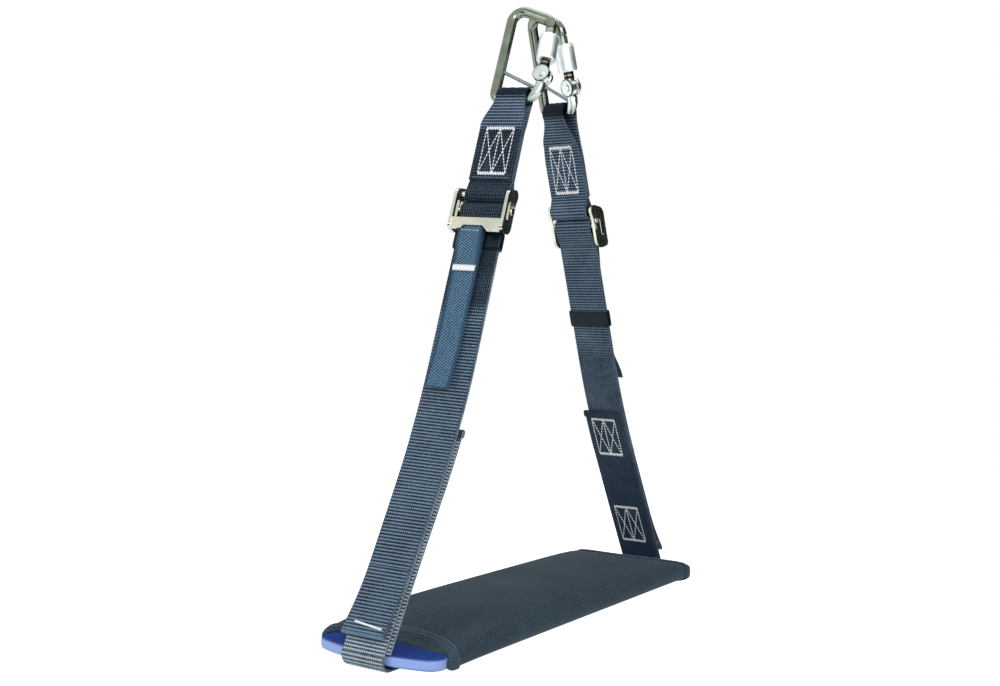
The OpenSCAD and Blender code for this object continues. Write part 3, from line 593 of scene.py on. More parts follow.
# Webbing
def rib_tree():
    """Raises the ribs of a woven band and gives its two faces their materials."""
    tree, source, end = new_tree("webbing ribs", {
        "Rib pitch": "NodeSocketFloat", "Rib height": "NodeSocketFloat",
        "Outer face": "NodeSocketMaterial", "Inner face": "NodeSocketMaterial"})
    along, face, ribbing = [
        add(tree, "GeometryNodeInputNamedAttribute", {"Name": key}, data_type="FLOAT").outputs[0]
        for key in ("along", "face", "ribbing")]
    turns = add(tree, MATH, {0: along, 1: source.outputs["Rib pitch"]}, operation="DIVIDE")
    angle = add(tree, MATH, {0: turns.outputs[0], 1: 2*math.pi}, operation="MULTIPLY")
    swing = add(tree, MATH, {0: angle.outputs[0]}, operation="COSINE")
    level = add(tree, MATH, {0: swing.outputs[0], 1: ribbing}, operation="MULTIPLY")
    half = add(tree, MATH, {0: source.outputs["Rib height"], 1: 0.5}, operation="MULTIPLY")
    rise = add(tree, MATH, {0: level.outputs[0], 1: half.outputs[0]}, operation="MULTIPLY")
    normal = add(tree, "GeometryNodeInputNormal")
    offset = add(tree, VECTOR, {0: normal.outputs[0], "Scale": rise.outputs[0]}, operation="SCALE")
    raised = add(tree, "GeometryNodeSetPosition", {"Geometry": source.outputs["Geometry"],
                                                   "Offset": offset.outputs[0]})
    mark = add(tree, MATH, {0: level.outputs[0], 1: 0.5, 2: 0.5}, operation="MULTIPLY_ADD")
    marked = add(tree, "GeometryNodeStoreNamedAttribute", {
        "Geometry": raised.outputs[0], "Name": "rib", "Value": mark.outputs[0]}, data_type="FLOAT", domain="POINT")
    behind = add(tree, "FunctionNodeCompare", {0: face, 1: -0.3}, data_type="FLOAT", operation="LESS_THAN")
    real = add(tree, "GeometryNodeRealizeInstances", {0: marked.outputs[0]})
    fronted = add(tree, "GeometryNodeSetMaterial", {"Geometry": real.outputs[0],
                                                    "Material": source.outputs["Outer face"]})
    backed = add(tree, "GeometryNodeSetMaterial", {"Geometry": fronted.outputs[0], "Selection": behind.outputs[0],
                                                   "Material": source.outputs["Inner face"]})
    tree.links.new(backed.outputs[0], end.inputs[0])
    return tree


webbing_ribs = rib_tree()


def webbing(name, path, place, width=WEB_W, thick=WEB_T, shift=0.0, start=0.0, gathers=False, outer=1.0, inner=0.8,
            shade=0.0, edge=0.0, faces=(ribbed_webbing, ribbed_webbing), slot="webbing", step=0.6):
    """Flat woven band along a path of (outward, up) points, with rounded edges. It keeps the length along the
    band, the place across it, the side of it, how far its ribs stand up, how sharply it is folded, which sets a
    painted fold tone, and how much painted shade it takes, as attributes, from which the weave is made. The ribs of
    the outer and inner face and the painted shade of the outer face are shares, or functions of the length down the
    leg and the offset from it; edge is the painted shade of the side edges."""
    line = even(path, step)
    across = [-0.5, -0.493, -0.475, -0.36, -0.22, -0.08, 0.08, 0.22, 0.36, 0.475, 0.493, 0.5]
    thickness = [0.0, 0.7, 1.0] + [1.0]*6 + [1.0, 0.7, 0.0]
    ring = list(zip(across, thickness)) + [(a, -t) for a, t in list(zip(across, thickness))[-2:0:-1]]
    points = []
    weave = {"along": [], "across": [], "face": [], "ribbing": [], "rubbed": [], "drawn": []}
    for i, c in enumerate(line):
        d = (line[min(i + 1, len(line) - 1)] - line[max(i - 1, 0)]).normalized()
        before, after = line[max(i - 4, 0)], line[min(i + 4, len(line) - 1)]
        bend = (c - before).angle(after - c, 0.0)/(4*step)
        fold = smooth((bend - 0.3)/0.3)
        gather = 1 - smooth((GATHER_RISE - EYE_AT - c.y)/FLARE_L) if gathers else 0.0
        half = width + (GATHER_W - width)*gather
        middle = shift + GATHER_SHIFT*gather
        # How far the band is drawn into the eye: it flattens the ribs, and it is painted as shade in the gathers.
        drawn = smooth((c.y + EYE_AT + 7)/10) if gathers else 0.0
        flat = (1 - 0.85*fold)*(1 - 0.9*drawn)
        shares = [share(-c.y, c.x) if callable(share) else share for share in (outer, inner, shade)]
        for a, t in ring:
            crease = 0.2*gather*math.sin(a*math.pi*7)
            lift = t*thick/2 + (crease if abs(t) > 0.5 else 0.0)
            points.append(place(c.x - d.y*lift, middle + a*half, c.y + d.x*lift))
            face = (1 if t > 0 else -1) if abs(t) > 0.9 else 0
            weave["along"].append(start + i*step)
            weave["across"].append((a + 0.5)*width)
            weave["face"].append(face)
            weave["ribbing"].append(flat*(shares[0] if face > 0 else shares[1] if face < 0 else 0.0))
            weave["rubbed"].append(fold)
            # The drawn share is painted shade: in the gathered eye, on the outer face by its shade share, and on the
            # side edges by edge.
            weave["drawn"].append(max(drawn, shares[2] if face > 0 else 0.0 if face < 0 else edge))
    mesh = skin(name, points, len(ring), False)
    for key, values in weave.items():
        mesh.attributes.new(key, "FLOAT", "POINT").data.foreach_set("value", values)
    obj = new_object(name, mesh)
    run_nodes(obj, webbing_ribs, **{"Rib pitch": RIB_PITCH, "Rib height": RIB_H*MM,
                                    "Outer face": faces[0], "Inner face": faces[1]})
    obj.data.shade_smooth()
    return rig.slot(obj, slot)


def upper_loop(side):
    """Sewn loop from inside the lap, round the buckle's upper bar, up, round the carabiner's foot and down."""
    name = SIDES[side]
    outer, inner = 1.5*LAYER, -LAYER/2
    neck, low_neck = EYE_AT + 34, TOP_BAR_AT - 14
    path = drift(EYE_AT + 40, low_neck, LAYER/2, LAYER/2)
    path += arc((-1.0, -TOP_BAR_AT - 0.9), TOP_BAR_R + SOFT_GAP + WEB_T/2 + 1.0, 25, -205)
    path += drift(low_neck, neck, inner, inner)
    path += arc((0, -EYE_AT), EYE_R + WEB_T/2, 200, -20)
    path += drift(neck, low_neck, outer, outer)

    def lap(s, x):
        return smooth((s - neck + 2)/6)*smooth(x/4 + 0.5)

    # Near the eye the outer half of the loop has flatter ribs and takes painted shade.
    loop = webbing(f"{name}_loop_webbing", path, on_leg(side), gathers=True,
                   outer=lambda s, x: 1 - 0.8*lap(s, x), shade=lambda s, x: 0.45*lap(s, x))
    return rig.replaces(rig.ride(loop, f"{name}_strap"), f"{name}_upper_loop")


def bar_turn(side):
    """The adjusting strap's turn over the slide bar, down to where it lies flat on both sides."""
    name = SIDES[side]
    rise = drift(SETTLE_FROM, SETTLE_AT, BAR_X - WRAP_R, 0)[::-1]
    fall = drift(SETTLE_FROM, SETTLE_AT, BAR_X + WRAP_R, LAYER)
    path = rise + arc((BAR_X, -BAR_AT), WRAP_R, 180, 0) + fall
    place = on_leg(side)

    def outside(x):
        return smooth((x - BAR_X)/4 + 0.5)

    # Outside the bar the band has flatter ribs and takes painted shade.
    turn = webbing(f"{name}_bar_turn_webbing", path, place,
                   outer=lambda s, x: 0.75 - 0.6*outside(x), shade=lambda s, x: 0.35*outside(x))
    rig.blend(turn, f"{name}_strap", f"{name}_slide_bar", place(BAR_X, 0, -SETTLE_AT),
             place(BAR_X, 0, -SETTLE_FROM - 3))
    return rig.replaces(turn, f"{name}_bar_wrap")


def load_strap(side):
    """Load-bearing run of the strap, from below the buckle to the board's rim; it bends at the fold line."""
    name = SIDES[side]
    place = on_leg(side)
    # The front leg's outer face takes the webbing with painted highlight on its ribs.
    strap = webbing(f"{name}_load_strap", drift(SETTLE_AT, RIM_AT, 0, 0), place, start=SETTLE_AT,
                    faces=(painted_light_webbing if side == FRONT else ribbed_webbing, ribbed_webbing),
                    inner=lambda s, x: 0.7 - 0.6*smooth((s - STRAIGHT_END + 10)/40))
    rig.blend(strap, "seat", f"{name}_strap", place(0, 0, -RIM_AT), place(0, 0, -RIM_AT + 14))
    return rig.replaces(strap, f"{name}_main_strap")


def tail_lift(s):
    """How far the tail stands off the strap at a length down the leg."""
    return TAIL_FLARE*max(0.0, (s - TAIL_END + TAIL_LIFT_L)/TAIL_LIFT_L)**2


def tail(side):
    """Free tail of the strap: it lies on the strap and ends in a folded stop hem that stands off."""
    name = SIDES[side]
    hem_z = -TAIL_END + LAYER/2 + WEB_T/2
    hem_x = LAYER + tail_lift(-hem_z)
    slope = 2*TAIL_FLARE/TAIL_LIFT_L
    path = drift(SETTLE_AT, TAIL_END - TAIL_LIFT_L, LAYER, LAYER)
    path += [Vector((LAYER + tail_lift(s), -s)) for s in (-hem_z - TAIL_LIFT_L*(1 - i/30) for i in range(1, 31))]
    path += arc((hem_x - LAYER/2, hem_z), LAYER/2, 0, -180, 12)
    path += [Vector((hem_x - LAYER - slope*HEM_L, hem_z + HEM_L))]

    def below_tape(s):
        return smooth((s - STRAIGHT_END + 38)/20)

    # Above the tape's end the tail is plainer and takes painted shade.
    piece = webbing(f"{name}_tail_webbing", path, on_leg(side), start=SETTLE_AT,
                    outer=lambda s, x: 0.12 + 0.88*below_tape(s), shade=lambda s, x: 0.45 - 0.45*below_tape(s))
    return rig.replaces(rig.ride(piece, f"{name}_strap"), f"{name}_strap_tail")


def doubler(side):
    """Inner doubler with a rolled top hem, sewn on by two box stitches."""
    name = SIDES[side]
    top = (-1.5*LAYER, -DOUBLER_AT - LAYER/2 - WEB_T/2)
    path = [Vector((top[0] - LAYER/2, top[1] - ROLL_L))] + arc(top, LAYER/2, 180, 0, 12)
    path += drift(-top[1] + HEM_L, DOUBLER_END, -LAYER, -LAYER)

    def below_roll(s):
        return smooth((s - DOUBLER_AT - 8)/4)

    # The rolled top hem takes painted shade, and on the rear leg the side edges do too.
    piece = webbing(f"{name}_doubler_webbing", path, on_leg(side), shift=DOUBLER_SHIFT[side], inner=0.1,
                    outer=lambda s, x: below_roll(s), shade=lambda s, x: 0.8*(1 - below_roll(s)),
                    edge=0.9 if side == REAR else 0.0, faces=(painted_light_webbing, twill_webbing))
    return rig.replaces(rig.ride(piece, f"{name}_strap"), f"{name}_inner_doubler")


def pull_tape(side):
    """Narrow tape looped on the buckle's lower bar, sewn back on itself and hanging free."""
    name = SIDES[side]
    centre = (TAPE_X + TAPE_TURN_R, -TAPE_BAR_AT)
    end = TAPE_BAR_AT + TAPE_L
    path = drift(TAPE_BAR_AT + TAPE_FOLD_L, TAPE_BAR_AT + 8, TAPE_X + TAPE_T + SOFT_GAP,
                 centre[0] + TAPE_TURN_R)
    path += arc(centre, TAPE_TURN_R, 0, 180) + drift(TAPE_BAR_AT + 8, end - 45, TAPE_X, TAPE_X)
    path += drift(end - 45, end, TAPE_X, TAPE_X + TAPE_LIFT[side])
    piece = webbing(f"{name}_tape_webbing", path, on_leg(side), TAPE_W, TAPE_T, TAPE_SHIFT[side], outer=0.0,
                    inner=0.0, faces=(tape_weave, tape_weave), slot="tape", step=1.0)
    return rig.replaces(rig.ride(piece, f"{name}_strap"), f"{name}_pull_tape")


def under_strap():
    """Load strap round both rims of the board and flat under the seat."""
    lean = math.degrees(LOWER_LEAN)
    turn = arc((RIM.x, RIM.y), STRAP_LOW, lean, -90)
    path = [Vector((-p.x, p.y)) for p in turn] + turn[::-1]
    # Its inner face takes the webbing with painted highlight on its ribs.
    piece = webbing("under_seat_webbing", path, in_world, start=RIM_AT - 0.4,
                    faces=(ribbed_webbing, painted_light_webbing))
    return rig.replaces(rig.ride(piece, "seat"), "under_seat_strap")


under_strap()
for side in SIDES:
    upper_loop(side)
    bar_turn(side)
    load_strap(side)
    tail(side)
    doubler(side)
    pull_tape(side)


# Keeper bands
def keeper(side):
    """Moulded band round both layers of the strap, with round corners and a crowned outer face."""
    name = SIDES[side]
    place = on_leg(side)
    low, high = -WEB_T/2 - SOFT_GAP - KEEPER_T/2, LAYER + WEB_T/2 + SOFT_GAP + KEEPER_T/2
    half, corner = WEB_W/2 + SOFT_GAP + KEEPER_T/2, 1.6
    loop = []
    for cx, cy, turn in ((high - corner, half - corner, 0), (low + corner, half - corner, 90),
                         (low + corner, corner - half, 180), (high - corner, corner - half, 270)):
        for p, a in zip(arc((cx, cy), corner, turn, turn + 90, 6), range(7)):
            loop.append((p, math.radians(turn + 15*a)))
    wall, tall = KEEPER_T/2, KEEPER_H/2
    section = [(-wall, -tall + 0.3), (-wall, tall - 0.3), (-wall + 0.3, tall), (wall - 0.6, tall),
               (wall - 0.15, tall - 0.6), (wall, tall/2), (wall, -tall/2), (wall - 0.15, 0.6 - tall),
               (wall - 0.6, -tall), (-wall + 0.3, -tall)]
    middle = -KEEPER_AT[side] - tall
    points = [place(p.x + u*math.cos(a), p.y + u*math.sin(a), middle + v) for p, a in loop for u, v in section]
    mesh = skin(f"{name}_keeper_band", points, len(section), True, keeper_plastic)
    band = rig.slot(new_object(f"{name}_keeper_band", mesh), "keeper_plastic")
    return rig.replaces(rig.ride(band, f"{name}_keeper"), f"{name}_strap_keeper")


for side in SIDES:
    keeper(side)


# Seat board
def seat_board():
    """Moulded board: an even plate with bowed ends, round corners and a round rim."""
    end_r = ((BOARD_W/2)**2 + BOARD_END_SAG**2)/(2*BOARD_END_SAG)
    end_x, corner_y = BOARD_L/2 - end_r, BOARD_W/2 - BOARD_CORNER_R
    reach = math.sqrt((end_r - BOARD_CORNER_R)**2 - corner_y**2)
    turn = math.degrees(math.atan2(corner_y, reach))
    rim = []
    for k in range(7):
        a = math.radians(15*k)
        rim.append((BOARD_EDGE_R*(1 - math.sin(a)), BOARD_T/2 - BOARD_EDGE_R*(1 - math.cos(a))))
    rim += [(inset, -z) for inset, z in rim[::-1]]
    points = []
    for inset, z in rim:
        corner = arc((end_x, 0), end_r - inset, 0, turn, 16)
        corner += arc((end_x + reach, corner_y), BOARD_CORNER_R - inset, turn, 90, 10)[1:]
        loop = [(p.x, p.y) for p in corner] + [(-p.x, p.y) for p in corner[::-1]]
        loop += [(-p.x, -p.y) for p in corner[1:]] + [(p.x, -p.y) for p in corner[:0:-1]]
        points += [in_world(x, y, z - SEAT_DROP) for x, y in loop]
    mesh = skin("seat_board_plate", points, len(loop), False, board_plastic)
    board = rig.slot(new_object("seat_board_plate", mesh), "board_plastic")
    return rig.replaces(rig.ride(board, "seat"), "seat_board")


seat_board()


# Seat cover
def cover_end(x, y):
    """Distance from the middle of the seat to the cover's drawn-in end, on the side where x is."""
    return COVER_L/2 - COVER_END_SAG[FRONT if x < 0 else REAR]*(1 - (2*y/COVER_W)**2)


def cover_point(t, turn, inset, back=0.0):
    """Point on the cover at a share of its half length and a turn round its boxy section. It is crowned, its ends
    are thinner and drawn in, and the front one lies on the board."""
    half_w, low = COVER_W/2 - inset, inset - COVER_HALF_END
    swell = 1 - min(1, abs(t))**10
    c, s = math.cos(turn), math.sin(turn)
    y, v = math.copysign(half_w*abs(c)**(1/3), c), math.copysign(abs(s)**(1/3), s)
    end_lift = 0 if t < 0 else REAR_LIFT - REAR_BOW*(y/half_w)**2
    high = (FOAM_T + SOFT_GAP)*swell + end_lift*(1 - swell) - low
    z = (high + low)/2 + v*(high - low)/2 + max(v, 0)*CROWN*swell*(1 - (y/half_w)**2)
    return in_world(t*(cover_end(t, y) - back), y, z - SEAT_DROP)


def cover_shell(inset, back, stations=56, around=80):
    """Closed skin of the cover, a little smaller than the finished one."""
    points = []
    for i in range(stations + 1):
        t = math.sin(math.pi/2*(2*i/stations - 1))
        points += [cover_point(t, 2*math.pi*j/around, inset, back) for j in range(around)]
    return skin("seat_pad", points, around, False)


def seat_pad():
    """Padded cover: the shell is blown up a little as cloth, held under the board and at its ends."""
    pad = new_object("seat_pad", cover_shell(PAD_INSET, PAD_BACK))
    bpy.context.view_layer.objects.active = pad
    pad.select_set(True)
    pad.data.remesh_voxel_size = PAD_VOXEL*MM
    bpy.ops.object.voxel_remesh()
    before = [v.co.copy() for v in pad.data.vertices]
    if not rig.quick():
        held = pad.vertex_groups.new(name="held")
        for v in pad.data.vertices:
            end_gap = cover_end(v.co.x, v.co.y/MM) - abs(v.co.x)/MM
            low = v.co.z/MM + SEAT_DROP < -2
            held.add([v.index], 1.0 if low or end_gap < PAD_HELD else 0.0, "REPLACE")
        cloth = pad.modifiers.new("swell", "CLOTH")
        cloth.settings.vertex_group_mass = "held"
        cloth.settings.use_pressure = True
        cloth.settings.uniform_pressure_force = PAD_PRESSURE
        cloth.settings.quality = 6
        cloth.settings.effector_weights.gravity = 0.0
        for f in range(1, 21):
            scene.frame_set(f)
        plain_mesh(pad)
        scene.frame_set(1)
    cap = PAD_SWELL*MM
    for v, old in zip(pad.data.vertices, before):
        move = v.co - old
        if move.length > cap:
            v.co = old + move*(cap/move.length)
    pucker(pad.data)
    subdivide = pad.modifiers.new("finer", "SUBSURF")
    subdivide.levels = subdivide.render_levels = 1
    plain_mesh(pad)
    pad.data.materials.clear()
    pad.data.materials.append(cover_cloth)
    pad.data.shade_smooth()
    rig.slot(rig.padded(pad, 0.75), "cover_cloth")
    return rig.replaces(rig.ride(pad, "seat"), "seat_cover", "foam_pad")


def pucker(mesh):
    """Small gathers behind the end hems, and soft ripples along the rounded long edges."""
    for v in mesh.vertices:
        x, y, z = v.co.x/MM, v.co.y/MM, v.co.z/MM + SEAT_DROP
        if z < 0:
            continue
        end_gap = cover_end(x, y) - abs(x)
        near_end = math.exp(-((end_gap - 22)/14)**2)
        gather = 0.35*near_end*math.sin(y*0.42 + math.sin(y*0.11 + x*0.01))
        edge = math.exp(-((abs(y) - COVER_W/2 + 4)/9)**2)
        ripple = 0.28*edge*math.sin(x*2*math.pi/7.5 + 1.4*math.sin(x*0.031))
        v.co.z += (gather + ripple)*MM
    mesh.update()


def hem(side):
    """Folded hem round one mouth of the cover, turned in onto the board."""
    turns = [math.acos((0.99*(1 - i/35))**3) for i in range(71)]
    turns += [math.pi - math.asin((0.5 - 0.25*i)**3) for i in range(5)]
    turns += [turn + math.pi for turn in turns]
    section = [(-11, -0.7), (-10.7, 0.1), (-10, 0.5), (-6, 0.5), (-3, 0.1), (-1, -0.5), (0.5, -1.2)]
    points = []
    for turn in turns:
        points += [cover_point(side*(1 + x/HEM_FROM), turn, -out) for x, out in section]
        edge = cover_point(side, turn, 1.2)
        y = max(-BOARD_W/2 - 0.2, min(BOARD_W/2 + 0.2, edge.y/MM))
        z = max(-BOARD_T/2 - 0.1, min(BOARD_T/2 + 0.1, edge.z/MM + SEAT_DROP))
        points.append(in_world(edge.x/MM - side*0.5, y, z - SEAT_DROP))
    name = f"{SIDES[side]}_cover_hem"
    mesh = skin(name, points, len(section) + 1, True, hem_cloth)
    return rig.ride(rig.slot(new_object(name, mesh), "cover_cloth"), "seat")


seat_pad()
for side in SIDES:
    hem(side)


# Stitching
def stitch_tree():
    """Lays a thread stitch on each length of a sewn line; a zigzag keeps its own corners."""
    tree, source, end = new_tree("sewn stitches", {
        "Stitch pitch": "NodeSocketFloat", "Thread width": "NodeSocketFloat", "Stitch share": "NodeSocketFloat",
        "Keep corners": "NodeSocketBool", "Thread": "NodeSocketMaterial"})
    line = add(tree, "GeometryNodeMeshToCurve", {0: source.outputs["Geometry"]})
    split = add(tree, "GeometryNodeResampleCurve", {
        "Curve": line.outputs[0], "Length": source.outputs["Stitch pitch"]}, mode="LENGTH")
    edges = add(tree, "GeometryNodeCurveToMesh", {"Curve": split.outputs[0]})
    chosen = add(tree, "GeometryNodeSwitch", {"Switch": source.outputs["Keep corners"], "False": edges.outputs[0],
                                              "True": source.outputs["Geometry"]}, input_type="GEOMETRY")
    ends = add(tree, "GeometryNodeInputMeshEdgeVertices")
    run = add(tree, VECTOR, {0: ends.outputs["Position 2"], 1: ends.outputs["Position 1"]}, operation="SUBTRACT")
    kept = add(tree, "GeometryNodeStoreNamedAttribute", {
        "Geometry": chosen.outputs[0], "Name": "run", "Value": run.outputs[0]},
        data_type="FLOAT_VECTOR", domain="EDGE")
    points = add(tree, "GeometryNodeMeshToPoints", {"Mesh": kept.outputs[0]}, mode="EDGES")
    way = add(tree, "GeometryNodeInputNamedAttribute", {"Name": "run"}, data_type="FLOAT_VECTOR")
    length = add(tree, VECTOR, {0: way.outputs[0]}, operation="LENGTH")
    shown = add(tree, MATH, {0: length.outputs["Value"], 1: source.outputs["Stitch share"]}, operation="MULTIPLY")
    size = add(tree, "ShaderNodeCombineXYZ", {0: source.outputs["Thread width"], 1: source.outputs["Thread width"],
                                              2: shown.outputs[0]})
    turned = add(tree, "FunctionNodeAlignRotationToVector", {"Vector": way.outputs[0]}, axis="Z")
    thread = add(tree, "GeometryNodeMeshUVSphere", {"Segments": 6, "Rings": 5, "Radius": 0.5})
    laid = add(tree, "GeometryNodeInstanceOnPoints", {"Points": points.outputs[0], "Instance": thread.outputs[0],
                                                      "Rotation": turned.outputs[0], "Scale": size.outputs[0]})
    real = add(tree, "GeometryNodeRealizeInstances", {0: laid.outputs[0]})
    rounded = add(tree, "GeometryNodeSetShadeSmooth", {0: real.outputs[0]})
    dyed = add(tree, "GeometryNodeSetMaterial", {"Geometry": rounded.outputs[0],
                                                 "Material": source.outputs["Thread"]})
    tree.links.new(dyed.outputs[0], end.inputs[0])
    return tree


sewn_stitches = stitch_tree()


def sewing(name, lines, body, thread, pitch, width, share=0.86, corners=False):
    """Stitches along lines of points, as one piece."""
    points, edges = [], []
    for line in lines:
        edges += [(len(points) + i, len(points) + i + 1) for i in range(len(line) - 1)]
        points += line
    mesh = bpy.data.meshes.new(name)
    mesh.from_pydata(points, edges, [])
    obj = new_object(name, mesh)
    run_nodes(obj, sewn_stitches, **{"Stitch pitch": pitch*MM, "Thread width": width*MM, "Stitch share": share,
                                     "Keep corners": corners, "Thread": thread})
    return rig.ride(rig.slot(obj, "webbing"), body)


def laid_line(place, x, a, b, step=4.0):
    """Points of a straight line on a face of the webbing, between two (across, down) points."""
    a, b = Vector(a), Vector(b)
    n = max(1, round((b - a).length/step))
    return [place(x, p.x, -p.y) for p in (a.lerp(b, i/n) for i in range(n + 1))]


def zigzag(place, x, left, right, at, tall, count):
    """Dense zigzag row across the webbing."""
    return [place(x, left + (right - left)*i/count, -at - (tall/2 if i % 2 else -tall/2))
            for i in range(count + 1)]


def box_stitch(side, label, x, middle, half, top, foot, body):
    """Box with crossed lines in both halves, closed by a zigzag row at its top and foot."""
    name, place = SIDES[side], on_leg(side)
    left, right = middle - half, middle + half
    lines = [laid_line(place, x, (y, top), (y, foot)) for y in (left, middle, right)]
    for start, end in ((left, middle), (middle, left), (middle, right), (right, middle)):
        lines.append(laid_line(place, x, (start, top), (end, foot)))
    count = round(half*2/BOX_ROW_PITCH)
    rows = [zigzag(place, x, left, right, s, BOX_ROW_TALL, count) for s in (top, foot)]
    sewing(f"{name}_{label}_lines", lines, body, white_thread, 3.4, 1.15)
    sewing(f"{name}_{label}_rows", rows, body, white_thread, 3.4, 1.3, 0.95, True)


def bar_tack(side, label, x, left, right, at, tall, body):
    """Dense bar of thread across the tape."""
    name, place = SIDES[side], on_leg(side)
    rows = [zigzag(place, x, left, right, at, tall, round((right - left)/0.55))]
    sewing(f"{name}_{label}", rows, body, white_thread, 3.0, 1.0, 0.97, True)


def tail_tack(side, body):
    """Zigzag tack across the tail's hem."""
    place, points = on_leg(side), []
    for i in range(61):
        run = 30*i/60
        s = TAIL_END - 10 + 0.1*run - (0 if i % 2 else 2.2)
        points.append(place(LAYER + tail_lift(s) + WEB_T/2 + 0.45, 11.5 - run, -s))
    sewing(f"{SIDES[side]}_tail_tack", [points], body, white_thread, 3.0, 0.8, 0.97, True)


def hem_rows(side):
    """Two rows of stitches that hold the cover's upper hem."""
    turns = [math.acos((0.93*(1 - i/30))**3) for i in range(61)]
    lines = [[cover_point(side*(1 - x/HEM_FROM), turn, -0.75) for turn in turns] for x in (5, 8.5)]
    sewing(f"{SIDES[side]}_hem_rows", lines, "seat", grey_thread, 3.2, 0.45, 0.8)


for side in SIDES:
    strap, middle, place = f"{SIDES[side]}_strap", TAPE_SHIFT[side], on_leg(side)
    outside, inside = 1.5*LAYER + WEB_T/2 + THREAD_OUT, -LAYER/2 - WEB_T/2 - THREAD_IN
    box_stitch(side, "loop_box_outer", outside, 0, LOOP_BOX_HALF, *LOOP_BOX, strap)
    box_stitch(side, "loop_box_inner", inside, 0, LOOP_BOX_HALF, *LOOP_BOX, strap)
    for where, box in DOUBLER_BOXES.items():
        box_stitch(side, f"doubler_{where}_box", -LAYER - WEB_T/2 - THREAD_IN, DOUBLER_SHIFT[side],
                   DOUBLER_BOX_HALF, *box, strap)
    tape_face = TAPE_X + TAPE_T + SOFT_GAP + TAPE_T/2 + 0.4
    bar_tack(side, "tape_tack", tape_face, middle - 11, middle + 11, TAPE_BAR_AT + TAPE_FOLD_L + 0.5, 7, strap)
    lines = [laid_line(place, TAPE_X + 2*TAPE_TURN_R + TAPE_T/2 + 0.3, (middle - 9, TAPE_BAR_AT + 7),
                       (middle + 9, TAPE_BAR_AT + 7))]
    sewing(f"{SIDES[side]}_tape_row", lines, strap, white_thread, 2.4, 0.9, 0.6)
    lines = [laid_line(place, 1.5*LAYER + WEB_T/2 + 0.15, (-19, TOP_BAR_AT - 16), (19, TOP_BAR_AT - 16))]
    sewing(f"{SIDES[side]}_loop_edge_row", lines, strap, grey_thread, 2.6, 0.7, 0.8)
    tail_tack(side, strap)
    hem_rows(side)


# Finishes of the metal parts
def frame_hinge(side):
    """Middle of the carabiner's gate rivet."""
    low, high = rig.box(f"{SIDES[side]}_gate_rivet")
    return (Vector(low) + Vector(high))/2


def dress(node, made):
    """Gives a CAD node its finish."""
    mesh = frame["nodes"][node].data
    mesh.materials.clear()
    mesh.materials.append(made)


for side, name in SIDES.items():
    hinge = frame_hinge(side)
    # The frame is paler near the hinge and darker olive away from it.
    frame_steel = hinge_ramp_steel(f"zinc plated steel, passivated, {name} carabiner", hinge, [
        (10, "#e6eeea"), (20, "#ccd6d0"), (34, "#858f80")], 0.17)
    # Painted light on the gate: the bright ears near the hinge are a painted reflection and the dark neck is painted
    # shade and reflection, with a gold band across it and a paler far end.
    gate_steel = hinge_ramp_steel(f"plain steel, blackened, {name} gate", hinge, [
        (10.6, "#dbe5e1"), (11.2, "#2a3637"), (13.2, "#2a3637"), (13.6, "#b9a775"), (14.6, "#b9a775"),
        (15, "#2a3637"), (26, "#2a3637"), (32, "#b4beb4")], 0.26)
    for node, made in (("carabiner_frame", frame_steel), ("buckle_frame", zinc_steel), ("slide_bar", zinc_steel),
                       ("captive_pin", pin_steel), ("gate_rivet", bright_steel), ("gate", gate_steel),
                       ("gate_plunger", dark_steel), ("gate_spring", spring_wire), ("twist_sleeve", satin_steel),
                       ("sleeve_spring", spring_wire)):
        dress(f"{name}_{node}", made)


# Floor, light and camera
def studio():
    """Pale floor and an even white room. Both look white to the camera and in the metal without lighting more."""
    mesh = bpy.data.meshes.new("floor")
    corners = [(x*FLOOR_HALF, y*FLOOR_HALF, FLOOR_Z) for x, y in ((-1, -1), (1, -1), (1, 1), (-1, 1))]
    mesh.from_pydata(corners, [], [(0, 1, 2, 3)])
    floor, tree = new_material("white paper floor, matte")
    grain = add(tree, NOISE, {"Scale": 300.0})
    bump = add(tree, BUMP, {"Height": grain.outputs[0], "Strength": 0.02})
    seen = add(tree, "ShaderNodeLightPath")
    direct = add(tree, MATH, {0: seen.outputs["Is Camera Ray"], 1: seen.outputs["Is Glossy Ray"]},
                 operation="MAXIMUM")
    where = add(tree, PLACE)
    away = add(tree, VECTOR, {0: where.outputs["Object"]}, operation="LENGTH")
    paler = add(tree, RANGE, {"Value": away.outputs["Value"], "From Min": 0.9, "From Max": 2.0, "To Min": 0.4,
                              "To Max": 1.0})
    glow = add(tree, MATH, {0: direct.outputs[0], 1: paler.outputs[0]}, operation="MULTIPLY")
    finish(tree, {"Base Color": colour("#f2f2f2"), "Roughness": 0.9, "Normal": bump.outputs[0],
                  "Emission Strength": glow.outputs[0], "Emission Color": (1, 1, 1, 1)})
    mesh.materials.append(floor)
    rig.stage(new_object("floor", mesh))
    world = bpy.data.worlds.new("studio")
    world.use_nodes = True
    scene.world = world
    tree = world.node_tree
    tree.nodes.clear()
    seen = add(tree, "ShaderNodeLightPath")
    direct = add(tree, MATH, {0: seen.outputs["Is Camera Ray"], 1: seen.outputs["Is Glossy Ray"]},
                 operation="MAXIMUM")
    shown = add(tree, MATH, {0: direct.outputs[0], 1: seen.outputs["Is Transmission Ray"]}, operation="MAXIMUM")
    room = add(tree, "ShaderNodeBackground", {"Color": colour("#f4f8ff"), "Strength": 0.55})
    white = add(tree, "ShaderNodeBackground", {"Color": (1, 1, 1, 1), "Strength": 1.0})
    mixed = add(tree, "ShaderNodeMixShader", {0: shown.outputs[0], 1: room.outputs[0], 2: white.outputs[0]})
    add(tree, "ShaderNodeOutputWorld", {"Surface": mixed.outputs[0]})


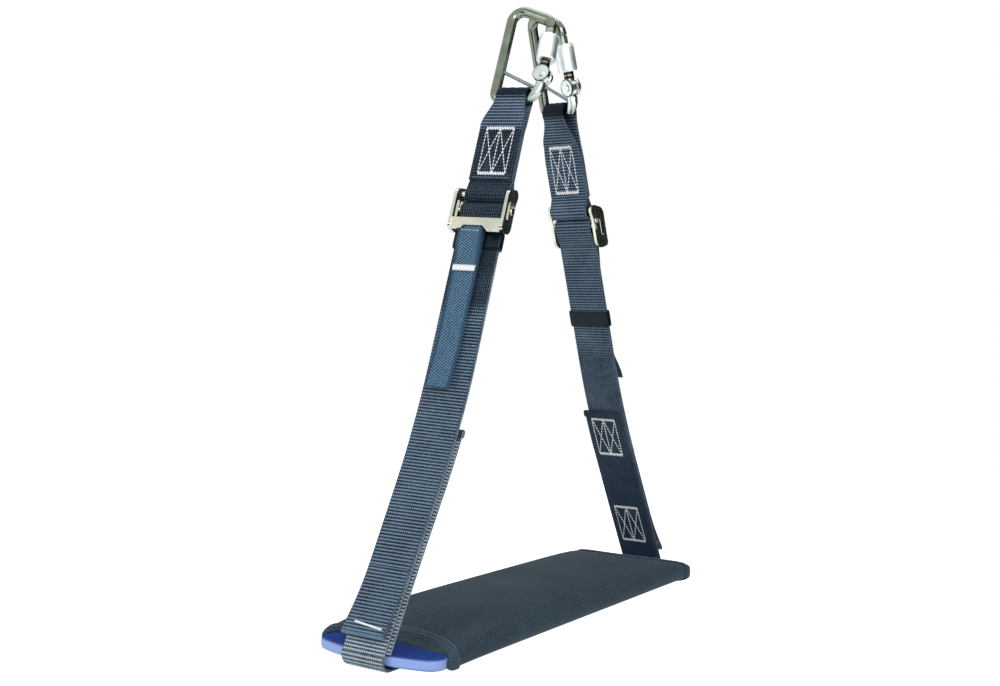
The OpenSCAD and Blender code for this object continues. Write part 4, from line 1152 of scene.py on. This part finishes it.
def dark_flag(name, turn, reach, width, low, high):
    """Dark card beside the set, seen only in the metal, so that bright bars get dark sides."""
    along = Vector((math.cos(turn), math.sin(turn), 0))
    out = Vector((-math.sin(turn), math.cos(turn), 0))
    corners = [out*reach + along*(side*width/2) + Vector((0, 0, z))
               for side, z in ((-1, low), (1, low), (1, high), (-1, high))]
    mesh = bpy.data.meshes.new(name)
    mesh.from_pydata(corners, [], [(0, 1, 2, 3)])
    card, tree = new_material("black card, matte")
    finish(tree, {"Base Color": colour("#1a2224"), "Roughness": 0.9})
    mesh.materials.append(card)
    obj = new_object(name, mesh)
    obj.visible_camera = obj.visible_diffuse = obj.visible_shadow = obj.visible_transmission = False
    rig.stage(obj)


def lamp(name, place, target, size, power):
    """Soft square lamp turned to a target."""
    light = bpy.data.lights.new(name, "AREA")
    light.size = size
    light.energy = power
    obj = bpy.data.objects.new(name, light)
    scene.collection.objects.link(obj)
    obj.location = place
    obj.rotation_euler = (Vector(target) - Vector(place)).to_track_quat("-Z", "Y").to_euler()


def photo_camera():
    """Camera fitted to the photograph: level, at about the middle of the height, 55 degrees round."""
    lens = bpy.data.cameras.new("photo")
    lens.sensor_width = SENSOR
    lens.lens = FOCAL/PHOTO_W*SENSOR
    obj = bpy.data.objects.new("photo", lens)
    scene.collection.objects.link(obj)
    yaw, pitch, roll = math.radians(YAW), math.radians(PITCH), math.radians(ROLL)
    ahead = Vector((math.sin(yaw)*math.cos(pitch), math.cos(yaw)*math.cos(pitch), -math.sin(pitch)))
    level = Vector((math.cos(yaw), -math.sin(yaw), 0))
    above = level.cross(ahead)
    right = level*math.cos(roll) + above*math.sin(roll)
    up = above*math.cos(roll) - level*math.sin(roll)
    turn = Matrix((right, up, -ahead)).transposed().to_4x4()
    obj.matrix_world = Matrix.Translation(Vector(CAMERA_AT)) @ turn
    scene.camera = obj


studio()
for flag, turn, width, high in (("flag_left", 200, 1.0, 1.2), ("flag_right", 75, 1.0, 0.4),
                                ("flag_back", 305, 2.4, 1.2), ("flag_side", 236, 1.0, 1.2),
                                ("flag_far", 262, 0.5, 1.2)):
    dark_flag(flag, math.radians(turn), FLAG_REACH, width, FLAG_FOOT, high)
lamp("key", (-1.2, -1.3, 0.5), AIM, 0.7, 14)
lamp("fill", (-1.5, 0.6, 0.1), AIM, 0.9, 6)
lamp("top", (0.3, 0.2, 1.1), AIM, 0.8, 3.5)
photo_camera()
scene.view_settings.view_transform = "Standard"

with open("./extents.json", "w") as out:
    json.dump({"cad": [list(map(float, p)) for p in cad_box],
               "visual": [list(map(float, p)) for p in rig.bounds()]}, out)
